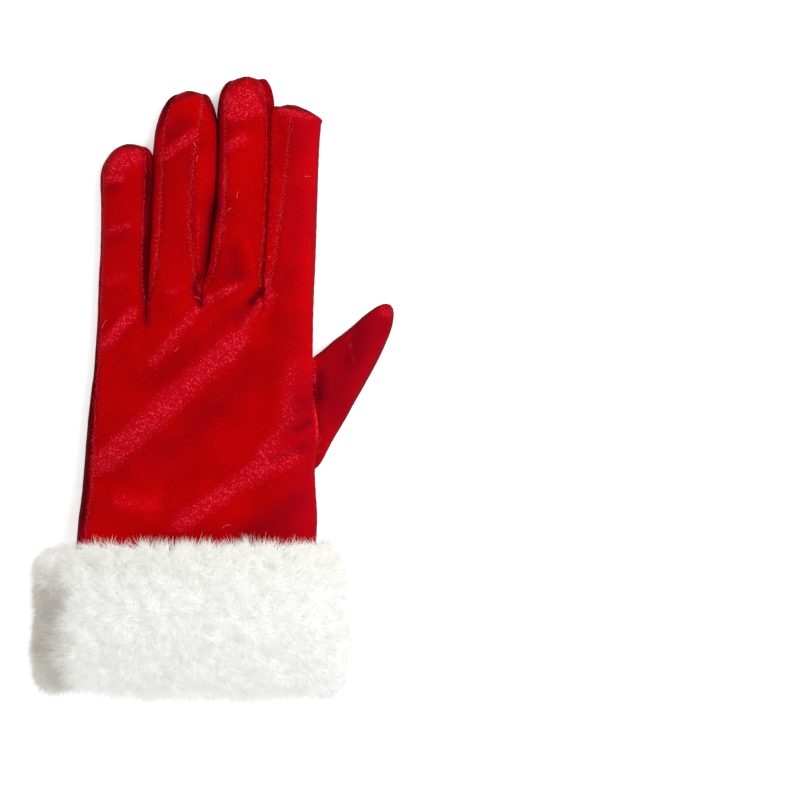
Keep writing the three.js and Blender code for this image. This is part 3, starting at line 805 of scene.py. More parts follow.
def velvet_material(settings):
    """Short pile with painted glints: sparse bright specks, dense along the seams and in the painted
    sheen bands.
    """
    tree = MaterialTree("red_velvet")
    place = tree.place()
    kinds = ("sheen", "seam", "shade", "cool")
    sheen, seam, shade, cool = (tree.attribute(kind) for kind in kinds)
    drift = tree.noise(place, DRIFT_SIZE)
    cloud = tree.noise(place, CLOUD_SIZE)
    lit = tree.step(sheen * (0.55 + 0.9 * cloud), *LIT)
    cells = tree.node(
        "ShaderNodeTexVoronoi", {"feature": "F1"}, {"Vector": place, "Scale": 1 / settings.speck_size}
    )
    chance = tree.node("ShaderNodeSeparateColor", None, {"Color": cells.output("Color")}, output="Red")
    strength = 0.35 + chance.output("Green")
    seam_glints = seam * tree.step(shade, *GLINTS_WHERE_LIGHT) * (0.35 + 0.65 * tree.step(drift, *PATCHES))
    rarity = DULL_SHARE - 0.32 * lit - 0.4 * seam_glints
    spark = (chance > rarity) * (1 - tree.step(cells, *TUFT_EDGE))
    base = tree.mix(settings.deep_colour, settings.flat_colour, tree.step(drift, *FLAT))
    # The cooler red comes in with the painted shade, and towards the thumb's side.
    base = tree.mix(base, settings.cool_colour, 1.3 * (1 - shade) + 0.45 * cool)
    # Painted sheen in the bands, and the painted glints over it.
    base = tree.mix(base, settings.band_colour, lit)
    fine = tree.step(tree.noise(place, GRAIN_SIZE, 1.0), *GRAIN)
    glint = spark * strength * (0.2 + 0.7 * lit + 0.6 * seam_glints) + 0.03 * fine * lit
    base = tree.mix(base, settings.glint_colour, glint)
    # Painted shade and painted light: the shade attribute multiplies the colour.
    tone = tree.node("ShaderNodeCombineColor", None, {"Red": shade, "Green": shade, "Blue": shade})
    pile = tree.noise(place, PILE_SIZE, 3.0) + 0.4 * spark
    return tree.surface(
        Base_Color=tree.mix(base, tone, 1.0, "MULTIPLY"),
        Roughness=0.75,
        Specular_IOR_Level=PILE_SHINE,
        Specular_Tint=settings.glint_colour,
        Sheen_Weight=0.05,
        Sheen_Roughness=0.35,
        Sheen_Tint=settings.glint_colour,
        Normal=tree.bump(pile, 0.0003, 0.5),
    )


def thread_material(settings):
    """Twisted thread, painted lighter and darker along its twist as painted light and shade, with a
    painted glow.
    """
    tree = MaterialTree("red_thread")
    twist = tree.noise(tree.place(), 0.0006)
    lit = glowing(tree.mix(settings.dark_colour, settings.thread_colour, twist))
    weave = tree.bump(twist, 0.0001, 0.5)
    return tree.surface(**lit, Roughness=0.7, Specular_IOR_Level=PILE_SHINE, Normal=weave)


def seam_pile_material(settings):
    """The ends of the pile that stand out of a seam, some painted bright as painted highlights where they
    catch the light, all with a painted glow.
    """
    tree = MaterialTree("seam_pile")
    bright = tree.attribute("bright")
    lit = glowing(tree.mix(settings.thread_colour, settings.tip_colour, bright))
    return tree.surface(**lit, Roughness=0.75, Specular_IOR_Level=PILE_SHINE)


def lint_material(settings):
    """Fine fibres that are paler in places."""
    tree = MaterialTree("loose_fibre")
    grain = tree.noise(tree.place(), 0.002)
    colour = tree.mix(settings.tip_colour, settings.lint_colour, grain)
    return tree.surface(Base_Color=colour, Roughness=0.8, Specular_IOR_Level=0.2)


def plush_material(settings):
    """White hair with a painted glow, painted darker and warmer as painted shade at its roots and on the
    cuff's shaded side.
    """
    tree = MaterialTree("white_plush")
    tone = tree.attribute("tone")
    lit = glowing(tree.mix(settings.shadow_colour, settings.hair_colour, tone))
    sheen = {"Sheen_Weight": 0.15, "Sheen_Roughness": 0.5}
    return tree.surface(**lit, **sheen, Roughness=0.9, Specular_IOR_Level=0.1)


def backing_material(settings):
    """Knitted cloth in small crossing ribs."""
    tree = MaterialTree("cuff_backing_cloth")
    place = tree.place()

    def ribs(direction, scale):
        settings = {"wave_type": "BANDS", "bands_direction": direction}
        return tree.node("ShaderNodeTexWave", settings, {"Vector": place, "Scale": scale}, output="Fac")

    knit = 0.5 * ribs("X", 400.0) + 0.5 * ribs("Y", 300.0)
    colour = tree.mix(settings.shadow_colour, settings.hair_colour, 0.55 + 0.4 * knit)
    return tree.surface(Base_Color=colour, Roughness=0.9, Normal=tree.bump(knit, 0.0003, 0.6))


# The strength of the floor's own light.
FLOOR_GLOW = 0.3


def floor_material(settings):
    """A pale floor with its own light, so that it stays even under the glove."""
    tree = MaterialTree("white_floor")
    grain = tree.noise(tree.place(), 0.01)
    pale = tree.mix(settings.floor_colour, (0.92, 0.92, 0.92), grain)
    light = {"Emission_Color": (1.0, 1.0, 1.0), "Emission_Strength": FLOOR_GLOW}
    return tree.surface(Base_Color=pale, **light, Roughness=0.9, Specular_IOR_Level=0.0)


def millimetres(name, description, default):
    return FloatProperty(name=name, description=description + ", in millimetres", default=default)


def metres(name, description, default, precision=3):
    return FloatProperty(
        name=name, description=description, default=default, unit="LENGTH", precision=precision
    )


def tint(name, description, default):
    return FloatVectorProperty(name=name, description=description, default=default, subtype="COLOR")


class VelvetSettings(bpy.types.PropertyGroup):
    """The velvet and how it is sewn."""

    thickness: millimetres("Thickness", "Thickness of the velvet", 1.2)
    seam_depth: millimetres("Seam depth", "How far a seam sinks", 0.28)
    pucker: millimetres("Pucker", "Height of the puckers at the seams", 0.2)
    strip_bulge: millimetres("Strip bulge", "How far the strips swell into the slits", 0.9)
    speck_size: metres("Glint size", "Size of one tuft of pile", 0.00052, 5)
    flat_colour: tint("Flat", "Where the pile stands up", (0.34, 0.0004, 0.001))
    deep_colour: tint("Deep", "Where the pile leans away", (0.275, 0.0003, 0.0008))
    # The next three colours are painted light and shade: the painted sheen bands, the painted shade and
    # the painted glints.
    band_colour: tint("Sheen band", "Where the pile lies over", (0.37, 0.001, 0.006))
    cool_colour: tint("Shade", "Where the velvet turns from the light", (0.31, 0.0011, 0.0088))
    glint_colour: tint("Glint", "Bright ends of the pile", (0.76, 0.04, 0.065))


class StitchSettings(bpy.types.PropertyGroup):
    """The thread in the seams, and the loose fibres."""

    pitch: millimetres("Pitch", "From stitch to stitch", 1.7)
    length: millimetres("Length", "Of one stitch", 0.9)
    width: millimetres("Width", "Of the thread", 0.2)
    pile_density: FloatProperty(
        name="Pile", description="Ends of pile on each millimetre of a seam", default=3.0
    )
    pile_length: millimetres("Pile length", "Of the pile in the seams", 0.6)
    # The thread's lit and shaded reds are painted light and shade, and the pile's lit tips are painted
    # highlights.
    thread_colour: tint("Thread", "Lit side of the thread", (0.58, 0.01, 0.018))
    dark_colour: tint("Thread shade", "Twist of the thread", (0.42, 0.004, 0.009))
    tip_colour: tint("Pile tips", "Lit ends of the pile", (0.72, 0.028, 0.046))
    lint_colour: tint("Lint", "Palest part of the loose fibres", (0.72, 0.24, 0.23))


class PlushSettings(bpy.types.PropertyGroup):
    """The plush of the cuff."""

    strands: IntProperty(name="Strands", description="How many hairs the cuff has", default=64000)
    clumps: IntProperty(name="Clumps", description="How many tufts the hairs gather in", default=5200)
    hair_length: millimetres("Length", "Of a hair", 8.5)
    hair_width: millimetres("Width", "Of a hair's root", 0.24)
    base: FloatProperty(
        name="Base", description="Height of the dense wool, as a share of the pile's", default=0.62
    )
    wool_reach: FloatProperty(
        name="Wool reach", description="Length of the dense wool, as a share of the cuff's", default=0.86
    )
    hair_colour: tint("Hair", "Colour of the hair's ends", (0.8, 0.805, 0.785))
    # The darker colour: painted shade at the hair's roots, in the wool and on the cuff's shaded side, and
    # the backing's darker knit.
    shadow_colour: tint("Root", "Colour between the hairs", (0.44, 0.41, 0.355))


class StageSettings(bpy.types.PropertyGroup):
    """The floor, the lights and the camera."""

    floor_size: metres("Floor", "Side of the floor", 6.0)
    floor_colour: tint("Floor colour", "Colour of the floor", (0.9, 0.9, 0.9))
    world_strength: FloatProperty(name="Sky", description="Strength of the even light", default=1.02)
    lamp_power: FloatProperty(name="Lamp", description="Power of the softbox", default=7.5, unit="POWER")
    lens: FloatProperty(name="Lens", description="Focal length", default=250.0, unit="CAMERA")
    view_width: metres("View", "Width of the picture at the glove", 0.32)
    view_centre: FloatVectorProperty(
        name="Aim", description="Middle of the picture", size=3, subtype="XYZ", unit="LENGTH",
        default=(0.0752, -0.0048, 0.008),
    )


# The strips between the fingers, in the fingers' order, and how much each one swells.
STRIPS = {"fourchette_little_ring": 1.0, "fourchette_ring_middle": 1.0, "fourchette_middle_index": 2.4}

# The limits of what the strokes may do to the velvet's colour: of its painted shade and painted light.
DARKEST, BRIGHTEST = 0.2, 1.35

# In the cloth beside a seam: how far its sinking, its puckers and its dense painted glints reach, and
# where the ridge beside it is, how wide and how high it is.
SINK_REACH, RUCK_REACH, GLINT_REACH = 1.0, 2.2, 1.1
RIDGE_AT, RIDGE_WIDTH, RIDGE = 2.4, 1.6, 0.12

# From one pucker to the next, and how much that wavers, as an angle, in waves of a size.
RUCK_PITCH = 4.6
RUCK_STRAY, RUCK_STRAY_SIZE = 3, 9.0

# Between which values each thing sets in. By the distance from a seam: the cloth's own unevenness and the
# swelling of a strip. By how far the cloth faces up: what shows from above, and where the painted shade
# of its steep sides gives way to the lighter upper side. By how far it faces aside: the swelling again.
# By how far it faces away from the light: the full depth of that painted shade.
CLEAR_OF_SEAM, SWOLLEN = (0.5, 3.0), (0.2, 1.5)
UPWARD, TURNED, SIDEWAYS, AWAY = (-0.1, 0.5), (0.25, 0.85), (0.3, 0.8), (-0.3, 0.5)

# Heights above the floor between which the painted shade and light of the strokes set in, the Y between
# which a strip takes on the panels' painted shade on its steep sides, and the X between which the velvet
# turns to its cooler red.
SHADES_FROM, STRIP_DARKENS, COOL_FROM = (1.0, 4.0), (98, 110), (20, 44)

# The slow and the quick unevenness of the cloth: heights and sizes.
SWAY, SWAY_SIZE = 0.22, 10.0
RIPPLE, RIPPLE_SIZE = 0.08, 3.5

# The five skins, once they are made.
skins = {}


def sewn_skins():
    """The five skins, with normals that agree where two pieces meet."""
    if skins:
        return skins
    made = {side + "_panel": panel_surface(side) for side in ("back", "palm")}
    made.update({name: fourchette_surface(column) for column, name in enumerate(STRIPS)})
    firsts = np.cumsum([0] + [len(points) for points, _ in made.values()])
    everything = np.concatenate([points for points, _ in made.values()])
    faces = np.concatenate([faces + first for (_, faces), first in zip(made.values(), firsts)])
    _, place = np.unique(np.round(everything, 3), axis=0, return_inverse=True)
    place = place.ravel()
    welded = np.zeros((place.max() + 1, 3))
    welded[place] = everything
    normals = vertex_normals(welded, place[faces])[place]
    for (name, (points, own)), first in zip(made.items(), firsts):
        skins[name] = {"points": points, "faces": own, "normals": normals[first : first + len(points)]}
    return skins


def sew_cloth(name, skin, settings):
    """A closed piece of velvet from a skin: sunk at its seams, creased, and with its thickness."""
    points, faces, normals = skin["points"], skin["faces"], skin["normals"]
    edges = free_edges(faces)
    sewn = np.unique(edges)
    sewn = sewn[points[sewn, 1] > WRIST_Y + 1]
    distance, _ = nearest(points[sewn], points)
    close = bell(distance, SINK_REACH)
    beside = bell(distance - RIDGE_AT, RIDGE_WIDTH)
    x, y, z = points.T
    upward = smoothstep(normals[:, 2], *UPWARD)
    clear = smoothstep(distance, *CLEAR_OF_SEAM)
    phase = 2 * np.pi * y / RUCK_PITCH + RUCK_STRAY * waves(points, RUCK_STRAY_SIZE, 1)
    ruck = np.sin(phase) * np.exp(-distance / RUCK_REACH)
    sideways = smoothstep(np.abs(normals[:, 0]), *SIDEWAYS)
    swell = settings.strip_bulge * STRIPS.get(name, 0)
    bulge = swell * smoothstep(distance, *SWOLLEN) * sideways
    flatness = lerp(0.3, 1, np.abs(normals[:, 2]))
    shift = (
        bulge
        - settings.seam_depth * close * flatness
        + RIDGE * beside
        + settings.pucker * ruck * (1 - close) * flatness
        + strokes(CREASES, x, y) * upward * clear
        + SWAY * waves(points, SWAY_SIZE, 2) * clear
        + RIPPLE * waves(points, RIPPLE_SIZE, 3) * clear
    )
    draw_back = np.zeros_like(points)
    start, end = edges.T
    inward = unit(np.cross(normals[start] + normals[end], points[end] - points[start]))
    np.add.at(draw_back, start, inward)
    np.add.at(draw_back, end, inward)
    draw_back = unit(draw_back) * SEAM_OPENING / 2
    outer = points + normals * shift[:, None] + draw_back
    outer[:, 2] = np.maximum(outer[:, 2], 0)
    if name in STRIPS:
        middle = slit_middle(list(STRIPS).index(name), y)
        one_side = np.minimum(outer[:, 0], middle - SLIT / 2)
        other_side = np.maximum(outer[:, 0], middle + SLIT / 2)
        outer[:, 0] = np.where(x < middle, one_side, other_side)
    inner_shift = -settings.thickness + 0.3 * close + np.minimum(shift, 0) * 0.5
    inner = points + normals * inner_shift[:, None] + draw_back
    count = len(points)
    rim = np.concatenate([
        np.stack([end, start, start + count], -1),
        np.stack([end, start + count, end + count], -1),
    ])
    all_faces = np.concatenate([faces, faces[:, ::-1] + count, rim])
    # Painted sheen on the upper side, where the strokes of BANDS lie.
    sheen = np.maximum(strokes(BANDS, x, y) * upward, 0)
    # Painted shade on the steep sides, fullest where they face away from the light, and on the strips
    # only near the fingertips.
    away = smoothstep(normals[:, 1] - normals[:, 0], *AWAY)
    shows = smoothstep(y, *STRIP_DARKENS) if name in STRIPS else 1
    turned = (1 - smoothstep(normals[:, 2], *TURNED)) * lerp(0.6, 1, away) * shows
    # Painted shade and painted light: the strokes of SHADES, a little painted shade in the seams, and the
    # painted shade of the steep sides.
    shade = 1 + strokes(SHADES, x, y) * smoothstep(z, *SHADES_FROM) - 0.04 * close - 0.58 * turned
    both = {
        "sheen": sheen,
        # How densely the painted glints lie beside the seams.
        "seam": bell(distance, GLINT_REACH),
        "shade": np.clip(shade, DARKEST, BRIGHTEST),
        "cool": smoothstep(x, *COOL_FROM),
    }
    attributes = {kind: np.concatenate([values, values]) for kind, values in both.items()}
    both_skins = np.concatenate([outer, inner])
    velvet = shared_material("red_velvet", velvet_material, settings)
    make_piece("velvet_" + name, both_skins, all_faces, velvet, name, attributes)


def shared_material(name, maker, settings):
    return bpy.data.materials.get(name) or maker(settings)


class GLOVE_OT_sew_panels(bpy.types.Operator):
    """Sew the back and the palm of the hand and of the fingers"""

    bl_idname = "glove.sew_panels"
    bl_label = "Sew the panels"

    def execute(self, context):
        settings = context.scene.velvet
        for name in ("back_panel", "palm_panel"):
            skin = dict(sewn_skins()[name])
            if name == "palm_panel":
                middles = skin["points"][skin["faces"]].mean(1)
                skin["faces"] = skin["faces"][~inside_thumb(middles, -settings.thickness)]
            sew_cloth(name, skin, settings)
        return {"FINISHED"}


class GLOVE_OT_sew_fourchettes(bpy.types.Operator):
    """Sew the strips between the fingers"""

    bl_idname = "glove.sew_fourchettes"
    bl_label = "Sew the strips between the fingers"

    def execute(self, context):
        for name in STRIPS:
            sew_cloth(name, sewn_skins()[name], context.scene.velvet)
        return {"FINISHED"}


class GLOVE_OT_sew_thumb(bpy.types.Operator):
    """Sew the thumb stall"""

    bl_idname = "glove.sew_thumb"
    bl_label = "Sew the thumb"

    def execute(self, context):
        points, faces = thumb_surface()
        skin = {"points": points, "faces": faces, "normals": vertex_normals(points, faces)}
        sew_cloth("thumb", skin, context.scene.velvet)
        return {"FINISHED"}


def seam_line(column, side):
    """A finger's upper seam from its crotch to where the strip ends."""
    along = np.linspace(0.0, STRIP_NARROWS, 200)
    up_left, up_right, _ = seam_angles(column, along)
    angle = 180 - up_left if side == "left" else up_right
    return finger_skin(column, angle, along)


def hand_edge(line, along, turn):
    """A run of the hand's skin, an angle away from one of its guide lines."""
    return skin_point(hand_section(guide_line(line, along)[1]), guide_angle("back", line, along) + turn)


# The parts that two seams take of the hand's outer guide lines, which run from the wrist to a crotch.
HAND_SEAM_RUN, THUMB_SEAM_RUN = (0.12, 1), (0.46, 0.82)

# How far up from the edge of the hand the row of stitches over the thumb is, in degrees.
STITCHED_IN = 12


def hand_seam():
    """The seam between the back and the palm on the little finger's side."""
    beside = hand_edge(0, np.linspace(*HAND_SEAM_RUN, 300), 0)
    return np.concatenate([beside, seam_line(0, "left")[1:]])


def thumb_side_seam():
    """The stitches along the edge of the hand that lies over the thumb."""
    return hand_edge(4, np.linspace(*THUMB_SEAM_RUN, 150), STITCHED_IN)


def measured(line):
    """A line's length, and a function that gives the places at distances along it."""
    run = np.concatenate([[0], np.cumsum(np.linalg.norm(np.diff(line, axis=0), axis=1))])

    def place(at):
        return np.stack([np.interp(at, run, line[:, i]) for i in range(3)], -1)

    return run[-1], place


def resample(line, pitch):
    """Points and directions at an even pitch along a line."""
    length, place = measured(line)
    at = np.arange(pitch, length, pitch)
    return place(at), unit(place(at + 0.2) - place(at))


def tubes(paths, widths, sides):
    """Closed tapering tubes along many paths at once. Paths are (tubes, stations, 3)."""
    count, stations = paths.shape[:2]
    run = unit(np.gradient(paths, axis=1))
    across = unit(np.cross(run, [0.13, 0.21, 0.97]))
    over = np.cross(across, run)
    turn = 2 * np.pi * np.arange(sides) / sides
    ring = np.cos(turn)[:, None] * across[:, :-1, None] + np.sin(turn)[:, None] * over[:, :-1, None]
    radii = np.broadcast_to(widths, (count, stations))[:, :-1, None, None] / 2
    body = paths[:, :-1, None] + ring * radii
    each = (stations - 1) * sides + 1
    points = np.concatenate([body.reshape(count, -1, 3), paths[:, -1:]], axis=1)
    faces = []
    for station in range(stations - 2):
        for i in range(sides):
            a, b = station * sides + i, station * sides + (i + 1) % sides
            faces += [[a, b, b + sides], [a, b + sides, a + sides]]
    last = (stations - 2) * sides
    faces += [[last + i, last + (i + 1) % sides, each - 1] for i in range(sides)]
    faces += [[0, i + 1, i] for i in range(1, sides - 1)]
    faces = np.array(faces)[None] + each * np.arange(count)[:, None, None]
    return points.reshape(-1, 3), faces.reshape(-1, 3)


def seam_places(pitch):
    """Points on the upper seams at an even pitch, with each seam's run and the way out of the glove."""
    lines = [hand_seam(), thumb_side_seam()]
    lines += [seam_line(column, "right") for column in (0, 1, 2)]
    lines += [seam_line(column, "left") for column in (1, 2, 3)]
    found = [resample(line, pitch) for line in lines]
    middles, runs = (np.concatenate(part) for part in zip(*found))
    back = sewn_skins()["back_panel"]
    _, owner = nearest(back["points"], middles)
    return middles, runs, back["normals"][owner]


# A stitch's widths from end to end, as shares of the thread's, how many seam depths deep it lies and
# how strongly it arches.
STITCH_WIDTHS = np.array([0.5, 0.95, 1.0, 0.9, 0.4])
STITCH_SINK, STITCH_ARCH = 1.1, 0.5


class GLOVE_OT_stitch_seams(bpy.types.Operator):
    """Put the stitches in the upper seams"""

    bl_idname = "glove.stitch_seams"
    bl_label = "Stitch the seams"

    def execute(self, context):
        settings = context.scene.stitches
        middles, runs, up = seam_places(settings.pitch)
        sink = context.scene.velvet.seam_depth * STITCH_SINK
        share = np.linspace(-0.5, 0.5, 5)[None, :, None]
        arch = (0.25 - share**2) * STITCH_ARCH - sink
        paths = middles[:, None] + runs[:, None] * share * settings.length + up[:, None] * arch
        points, faces = tubes(paths, settings.width * STITCH_WIDTHS, 5)
        thread = thread_material(settings)
        make_piece("seam_stitches", points, faces, thread, "back_panel", {})
        return {"FINISHED"}


# How far the pile of a seam strays from it, leans across it and leans along it, how upright it is, the
# least and the most of its length, and its widths from root to tip.
PILE_SPREADS, UPRIGHT = (0.45, 0.8, 0.5), 0.5
PILE_LENGTHS = (0.6, 1.2)
PILE_WIDTHS = np.array([0.3, 0.28, 0.0])


class GLOVE_OT_fluff_seams(bpy.types.Operator):
    """Stand the ends of the pile out of the upper seams"""

    bl_idname = "glove.fluff_seams"
    bl_label = "Fluff the seams"

    def execute(self, context):
        settings = context.scene.stitches
        random = np.random.default_rng(3)
        middles, runs, up = seam_places(1 / settings.pile_density)
        count = len(middles)
        across = np.cross(up, runs)
        aside, lean_aside, lean_ahead = (random.normal(0, size, (count, 1)) for size in PILE_SPREADS)
        depth = context.scene.velvet.seam_depth * np.exp(-(aside**2))
        root = middles + across * aside - up * depth
        lean = unit(UPRIGHT * up + across * lean_aside + runs * lean_ahead)
        length = settings.pile_length * lerp(*PILE_LENGTHS, random.random((count, 1)))
        share = np.array([0, 0.5, 1.0])[None, :, None]
        paths = root[:, None] + lean[:, None] * length[:, None] * share
        points, faces = tubes(paths, PILE_WIDTHS, 3)
        bright = np.repeat(random.random(count) ** 1.5, len(points) // count)
        pile = seam_pile_material(settings)
        make_piece("seam_pile", points, faces, pile, "back_panel", {"bright": bright})
        return {"FINISHED"}


# Loose fibres on the back of the glove: where each lies, which way it runs and how long it is.
LINT = table(["x", "y", "turn", "length", "curl"], [
    [-42.8, 25.6, 60, 4.2, 0.5],
    [-14.0, 15.6, 50, 2.6, -0.7],
    [6.4, -55.2, 20, 4.0, 1.3],
    [-5.6, 35.6, -30, 3.0, 0.9],
    [-5.6, 91.6, 75, 2.8, 0.6],
    [10.4, 77.2, 80, 3.0, 0.3],
    [7.2, 71.2, 40, 2.0, 0.6],
    [38.4, 84.4, 0, 2.4, 0.3],
    [-7.0, 97.0, -60, 2.0, 0.8],
    [22.0, 52.0, 30, 3.2, -0.4],
])


# How high a loose fibre's middle lies over the velvet, how it rises to its ends and how wide it is.
LINT_HEIGHT, LINT_ENDS, LINT_WIDTH = 0.35, 0.5, 0.13


class GLOVE_OT_scatter_lint(bpy.types.Operator):
    """Lay the loose fibres that cling to the pile"""

    bl_idname = "glove.scatter_lint"
    bl_label = "Scatter the loose fibres"

    def execute(self, context):
        share = np.linspace(-0.5, 0.5, 9)[None, :]
        turn = np.radians(LINT["turn"])[:, None]
        length, curl = LINT["length"][:, None], LINT["curl"][:, None]
        bend = curl * (0.25 - share**2) * 2
        x = LINT["x"][:, None] + share * length * np.cos(turn) - bend * np.sin(turn)
        y = LINT["y"][:, None] + share * length * np.sin(turn) + bend * np.cos(turn)
        back = sewn_skins()["back_panel"]
        flat = np.stack([x, y, 0 * x], -1).reshape(-1, 3)
        _, owner = nearest(back["points"] * [1, 1, 0], flat)
        z = back["points"][owner, 2].reshape(x.shape) + LINT_HEIGHT + LINT_ENDS * np.abs(share)
        points, faces = tubes(np.stack([x, y, z], -1), LINT_WIDTH, 4)
        lint = lint_material(context.scene.stitches)
        make_piece("loose_fibres", points, faces, lint, "back_panel", {})
        return {"FINISHED"}


# One row for each place round the section of the cuff's wall: where it lies along the arm, from 0 at
# the upper edge of the backing to 1 at the mouth, and how far out it is, in heights of the pile.
CUFF_WALL = table(["along", "out"], [
    [0, 0],
    [-0.06, 0.26],
    [-0.07, 0.55],
    [0.0, 0.84],
    [0.14, 1.02],
    [0.4, 1.12],
    [0.68, 1.12],
    [0.92, 1.03],
    [1.1, 0.84],
    [1.19, 0.5],
    [1.17, 0.16],
    [1, 0],
])


# How far before and behind a place its ring's direction is read.
RING_REACH = 1.5


def cuff_ring(y, around, out):
    """Places round the cuff at one Y, a distance outside the velvet."""
    angles = -np.linspace(0, 360, 1441)
    length, place = measured(skin_point(hand_section(np.full(1, float(y))), angles))
    at = around * length
    tangent = place((at + RING_REACH) % length) - place((at - RING_REACH) % length)
    outward = unit(np.stack([-tangent[:, 2], 0 * at, tangent[:, 0]], -1))
    return place(at) + outward * np.broadcast_to(CUFF_CLEARANCE + out, at.shape)[:, None]


def ring_body(rings):
    """The points and the triangles of a body of rings, the last of which joins the first."""
    grid = np.array(rings + rings[:1])
    grid = np.concatenate([grid, grid[:, :1]], axis=1)
    return grid.reshape(-1, 3), grid_faces(*grid.shape[:2])


# How far the plush's corners depart from an even ring, in millimetres.
CORNER_REACH, CORNER_LOW, CORNER_SHORT = 5.0, 3.0, 2.6

# How lumpy the pile's surface is, as a share of its height.
LUMP = 0.06


def lump(y, around):
    """The pile's height at a place round the cuff, as a share of its even height."""
    return 1 + LUMP * np.sin(18 * np.pi * around + 0.21 * y) * np.sin(0.33 * y)


def settle(points):
    """Moves the plush's corners by the little finger: the upper one out and down, the lower one up."""
    x, y, z = points.T
    corner = smoothstep(-x, 52, 60) * (1 - smoothstep(-y, 68, 94))
    low = smoothstep(-x, 46, 60) * (1 - smoothstep(-y, 62, 80))
    short = smoothstep(-x, 26, 50) * smoothstep(-y, 106, 118)
    return np.stack([x - CORNER_REACH * corner, y - CORNER_LOW * low + CORNER_SHORT * short, z], -1)


# How far out of the velvet the wool's inner side is, and how far the pile stays above the floor.
WOOL_INNER = 0.9
HAIR_FLOOR = 0.3


def cuff_wool(settings):
    """The dense wool under the hair, as closed rings round the wall, and the faces that bear hair."""
    wall = sample(CUFF_WALL, "number", np.linspace(0, len(CUFF_WALL["number"]) - 1, WOOL_ACROSS + 1))
    around = np.arange(WOOL_AROUND) / WOOL_AROUND

    def wool_y(along):
        return lerp(CUFF_TOP_Y, CUFF_MOUTH_Y, lerp(0.5, along, settings.wool_reach))

    rings = []
    for along, out in zip(wall["along"], wall["out"]):
        y = wool_y(along)
        pile = max(out, 0) * settings.base * PILE * lump(y, around)
        rings.append(settle(cuff_ring(y, around, BACKING + pile)))
    back_up = np.linspace(1, 0, WOOL_INSIDE + 1)
    rings += [cuff_ring(wool_y(along), around, WOOL_INNER) for along in back_up]
    points, faces = ring_body(rings)
    points[:, 2] = np.maximum(points[:, 2], HAIR_FLOOR)
    hairy = (faces // (WOOL_AROUND + 1)).max(1) <= WOOL_ACROSS
    return points, faces[:, ::-1], hairy


# The hair is combed away from a centre with a pull that grows to its full strength over a reach, and
# turned aside by slow swirls and by each tuft's own way. It hangs on the cuff's sides.
COMB_CENTRE = (-8, -80)
COMB_PULL, COMB_REACH = 30, 40
SWIRL, TUFT_STRAY, HANG = 16, 44, 20


def comb_directions(points, outward, draw):
    """The way the hair is combed: away from the middle of the cuff's upper side, and down."""
    centre_x, centre_y = COMB_CENTRE
    comb = np.stack([points[:, 0] - centre_x, 2 * (points[:, 1] - centre_y), 0 * draw[:, 0]], -1)
    comb *= COMB_PULL / (np.linalg.norm(comb, axis=1, keepdims=True) + COMB_REACH)
    swirl = np.stack([waves(points, 13.0, seed) for seed in (4, 5)], -1)
    comb[:, :2] += SWIRL * swirl + TUFT_STRAY * (draw[:, :2] - 0.5)
    comb[:, 2] -= HANG * (1 - outward[:, 2])
    comb -= outward * np.sum(comb * outward, axis=1, keepdims=True)
    return unit(comb)


def tone_of(points):
    """How light the plush is painted: painted shade where it turns under along its left side, and a
    little along its upper edge.
    """
    x, y, _ = points.T
    ragged = 5 * waves(points, 7.0, 8)
    left = smoothstep(-x + ragged, 52, 58) * (1 - smoothstep(-x, 66, 71))
    left *= smoothstep(-y + ragged, 68, 82) * (1 - smoothstep(-y + ragged, 115, 122))
    left *= 0.9 + 0.35 * waves(points, 10.0, 9)
    # Painted shade along the cuff's upper edge.
    top = 1 - smoothstep(-y, 66, 82)
    return 1 - 0.85 * left - 0.18 * top


class GLOVE_OT_line_cuff(bpy.types.Operator):
    """Make the cuff's knitted backing"""

    bl_idname = "glove.line_cuff"
    bl_label = "Make the cuff's backing"

    def execute(self, context):
        settings = context.scene.plush
        around = np.arange(CUFF_AROUND) / CUFF_AROUND
        profile = [(-0.01, 0.1), (0.2, 0.0), (0.4, 0.0), (0.6, 0.0), (0.8, 0.0), (1.0, 0.1)]
        profile += [(along, out + CUFF_CLOTH) for along, out in reversed(profile)]
        rings = [cuff_ring(lerp(CUFF_TOP_Y, CUFF_MOUTH_Y, along), around, out) for along, out in profile]
        points, faces = weld(*ring_body(rings))
        cloth = backing_material(settings)
        make_piece("cuff_backing", points, faces, cloth, "fur_cuff", {})
        return {"FINISHED"}


# The wool's tone, as a share of the hair's: painted shade under the hair.
WOOL_TONE = 0.82

# How deep a hair is rooted, how far its way strays from its tuft's and how much a tuft draws together.
ROOT_DEPTH, HAIR_STRAY, GATHER = 0.8, 1.2, 0.16

# The least and the most of a tuft's length and rise, and of a hair's length and tone in it.
TUFT_LENGTHS, TUFT_RISES = (0.82, 1.08), (0.42, 0.66)
HAIR_LENGTHS, HAIR_TONES = (0.8, 1.1), (0.95, 1.02)

# A hair's widths and tones from root to tip, as shares of its own: its tones are painted shade, darkest
# at the root.
HAIR_WIDTHS = np.array([1.0, 0.8, 0.0])
HAIR_SHADING = np.array([0.92, 0.97, 1.0])

# The wool's fine and coarse unevenness: heights and sizes. It stays this far above the floor.
LOCKS, LOCKS_SIZE = 0.7, 2.2
TUFTS, TUFTS_SIZE = 0.5, 5.0
WOOL_FLOOR = 0.25

# How dense the hair is on the side that the glove lies on, as a share of the rest.
UNDER_SHARE = 0.12

# The hair is in this many pieces.
HAIR_PIECES = 4


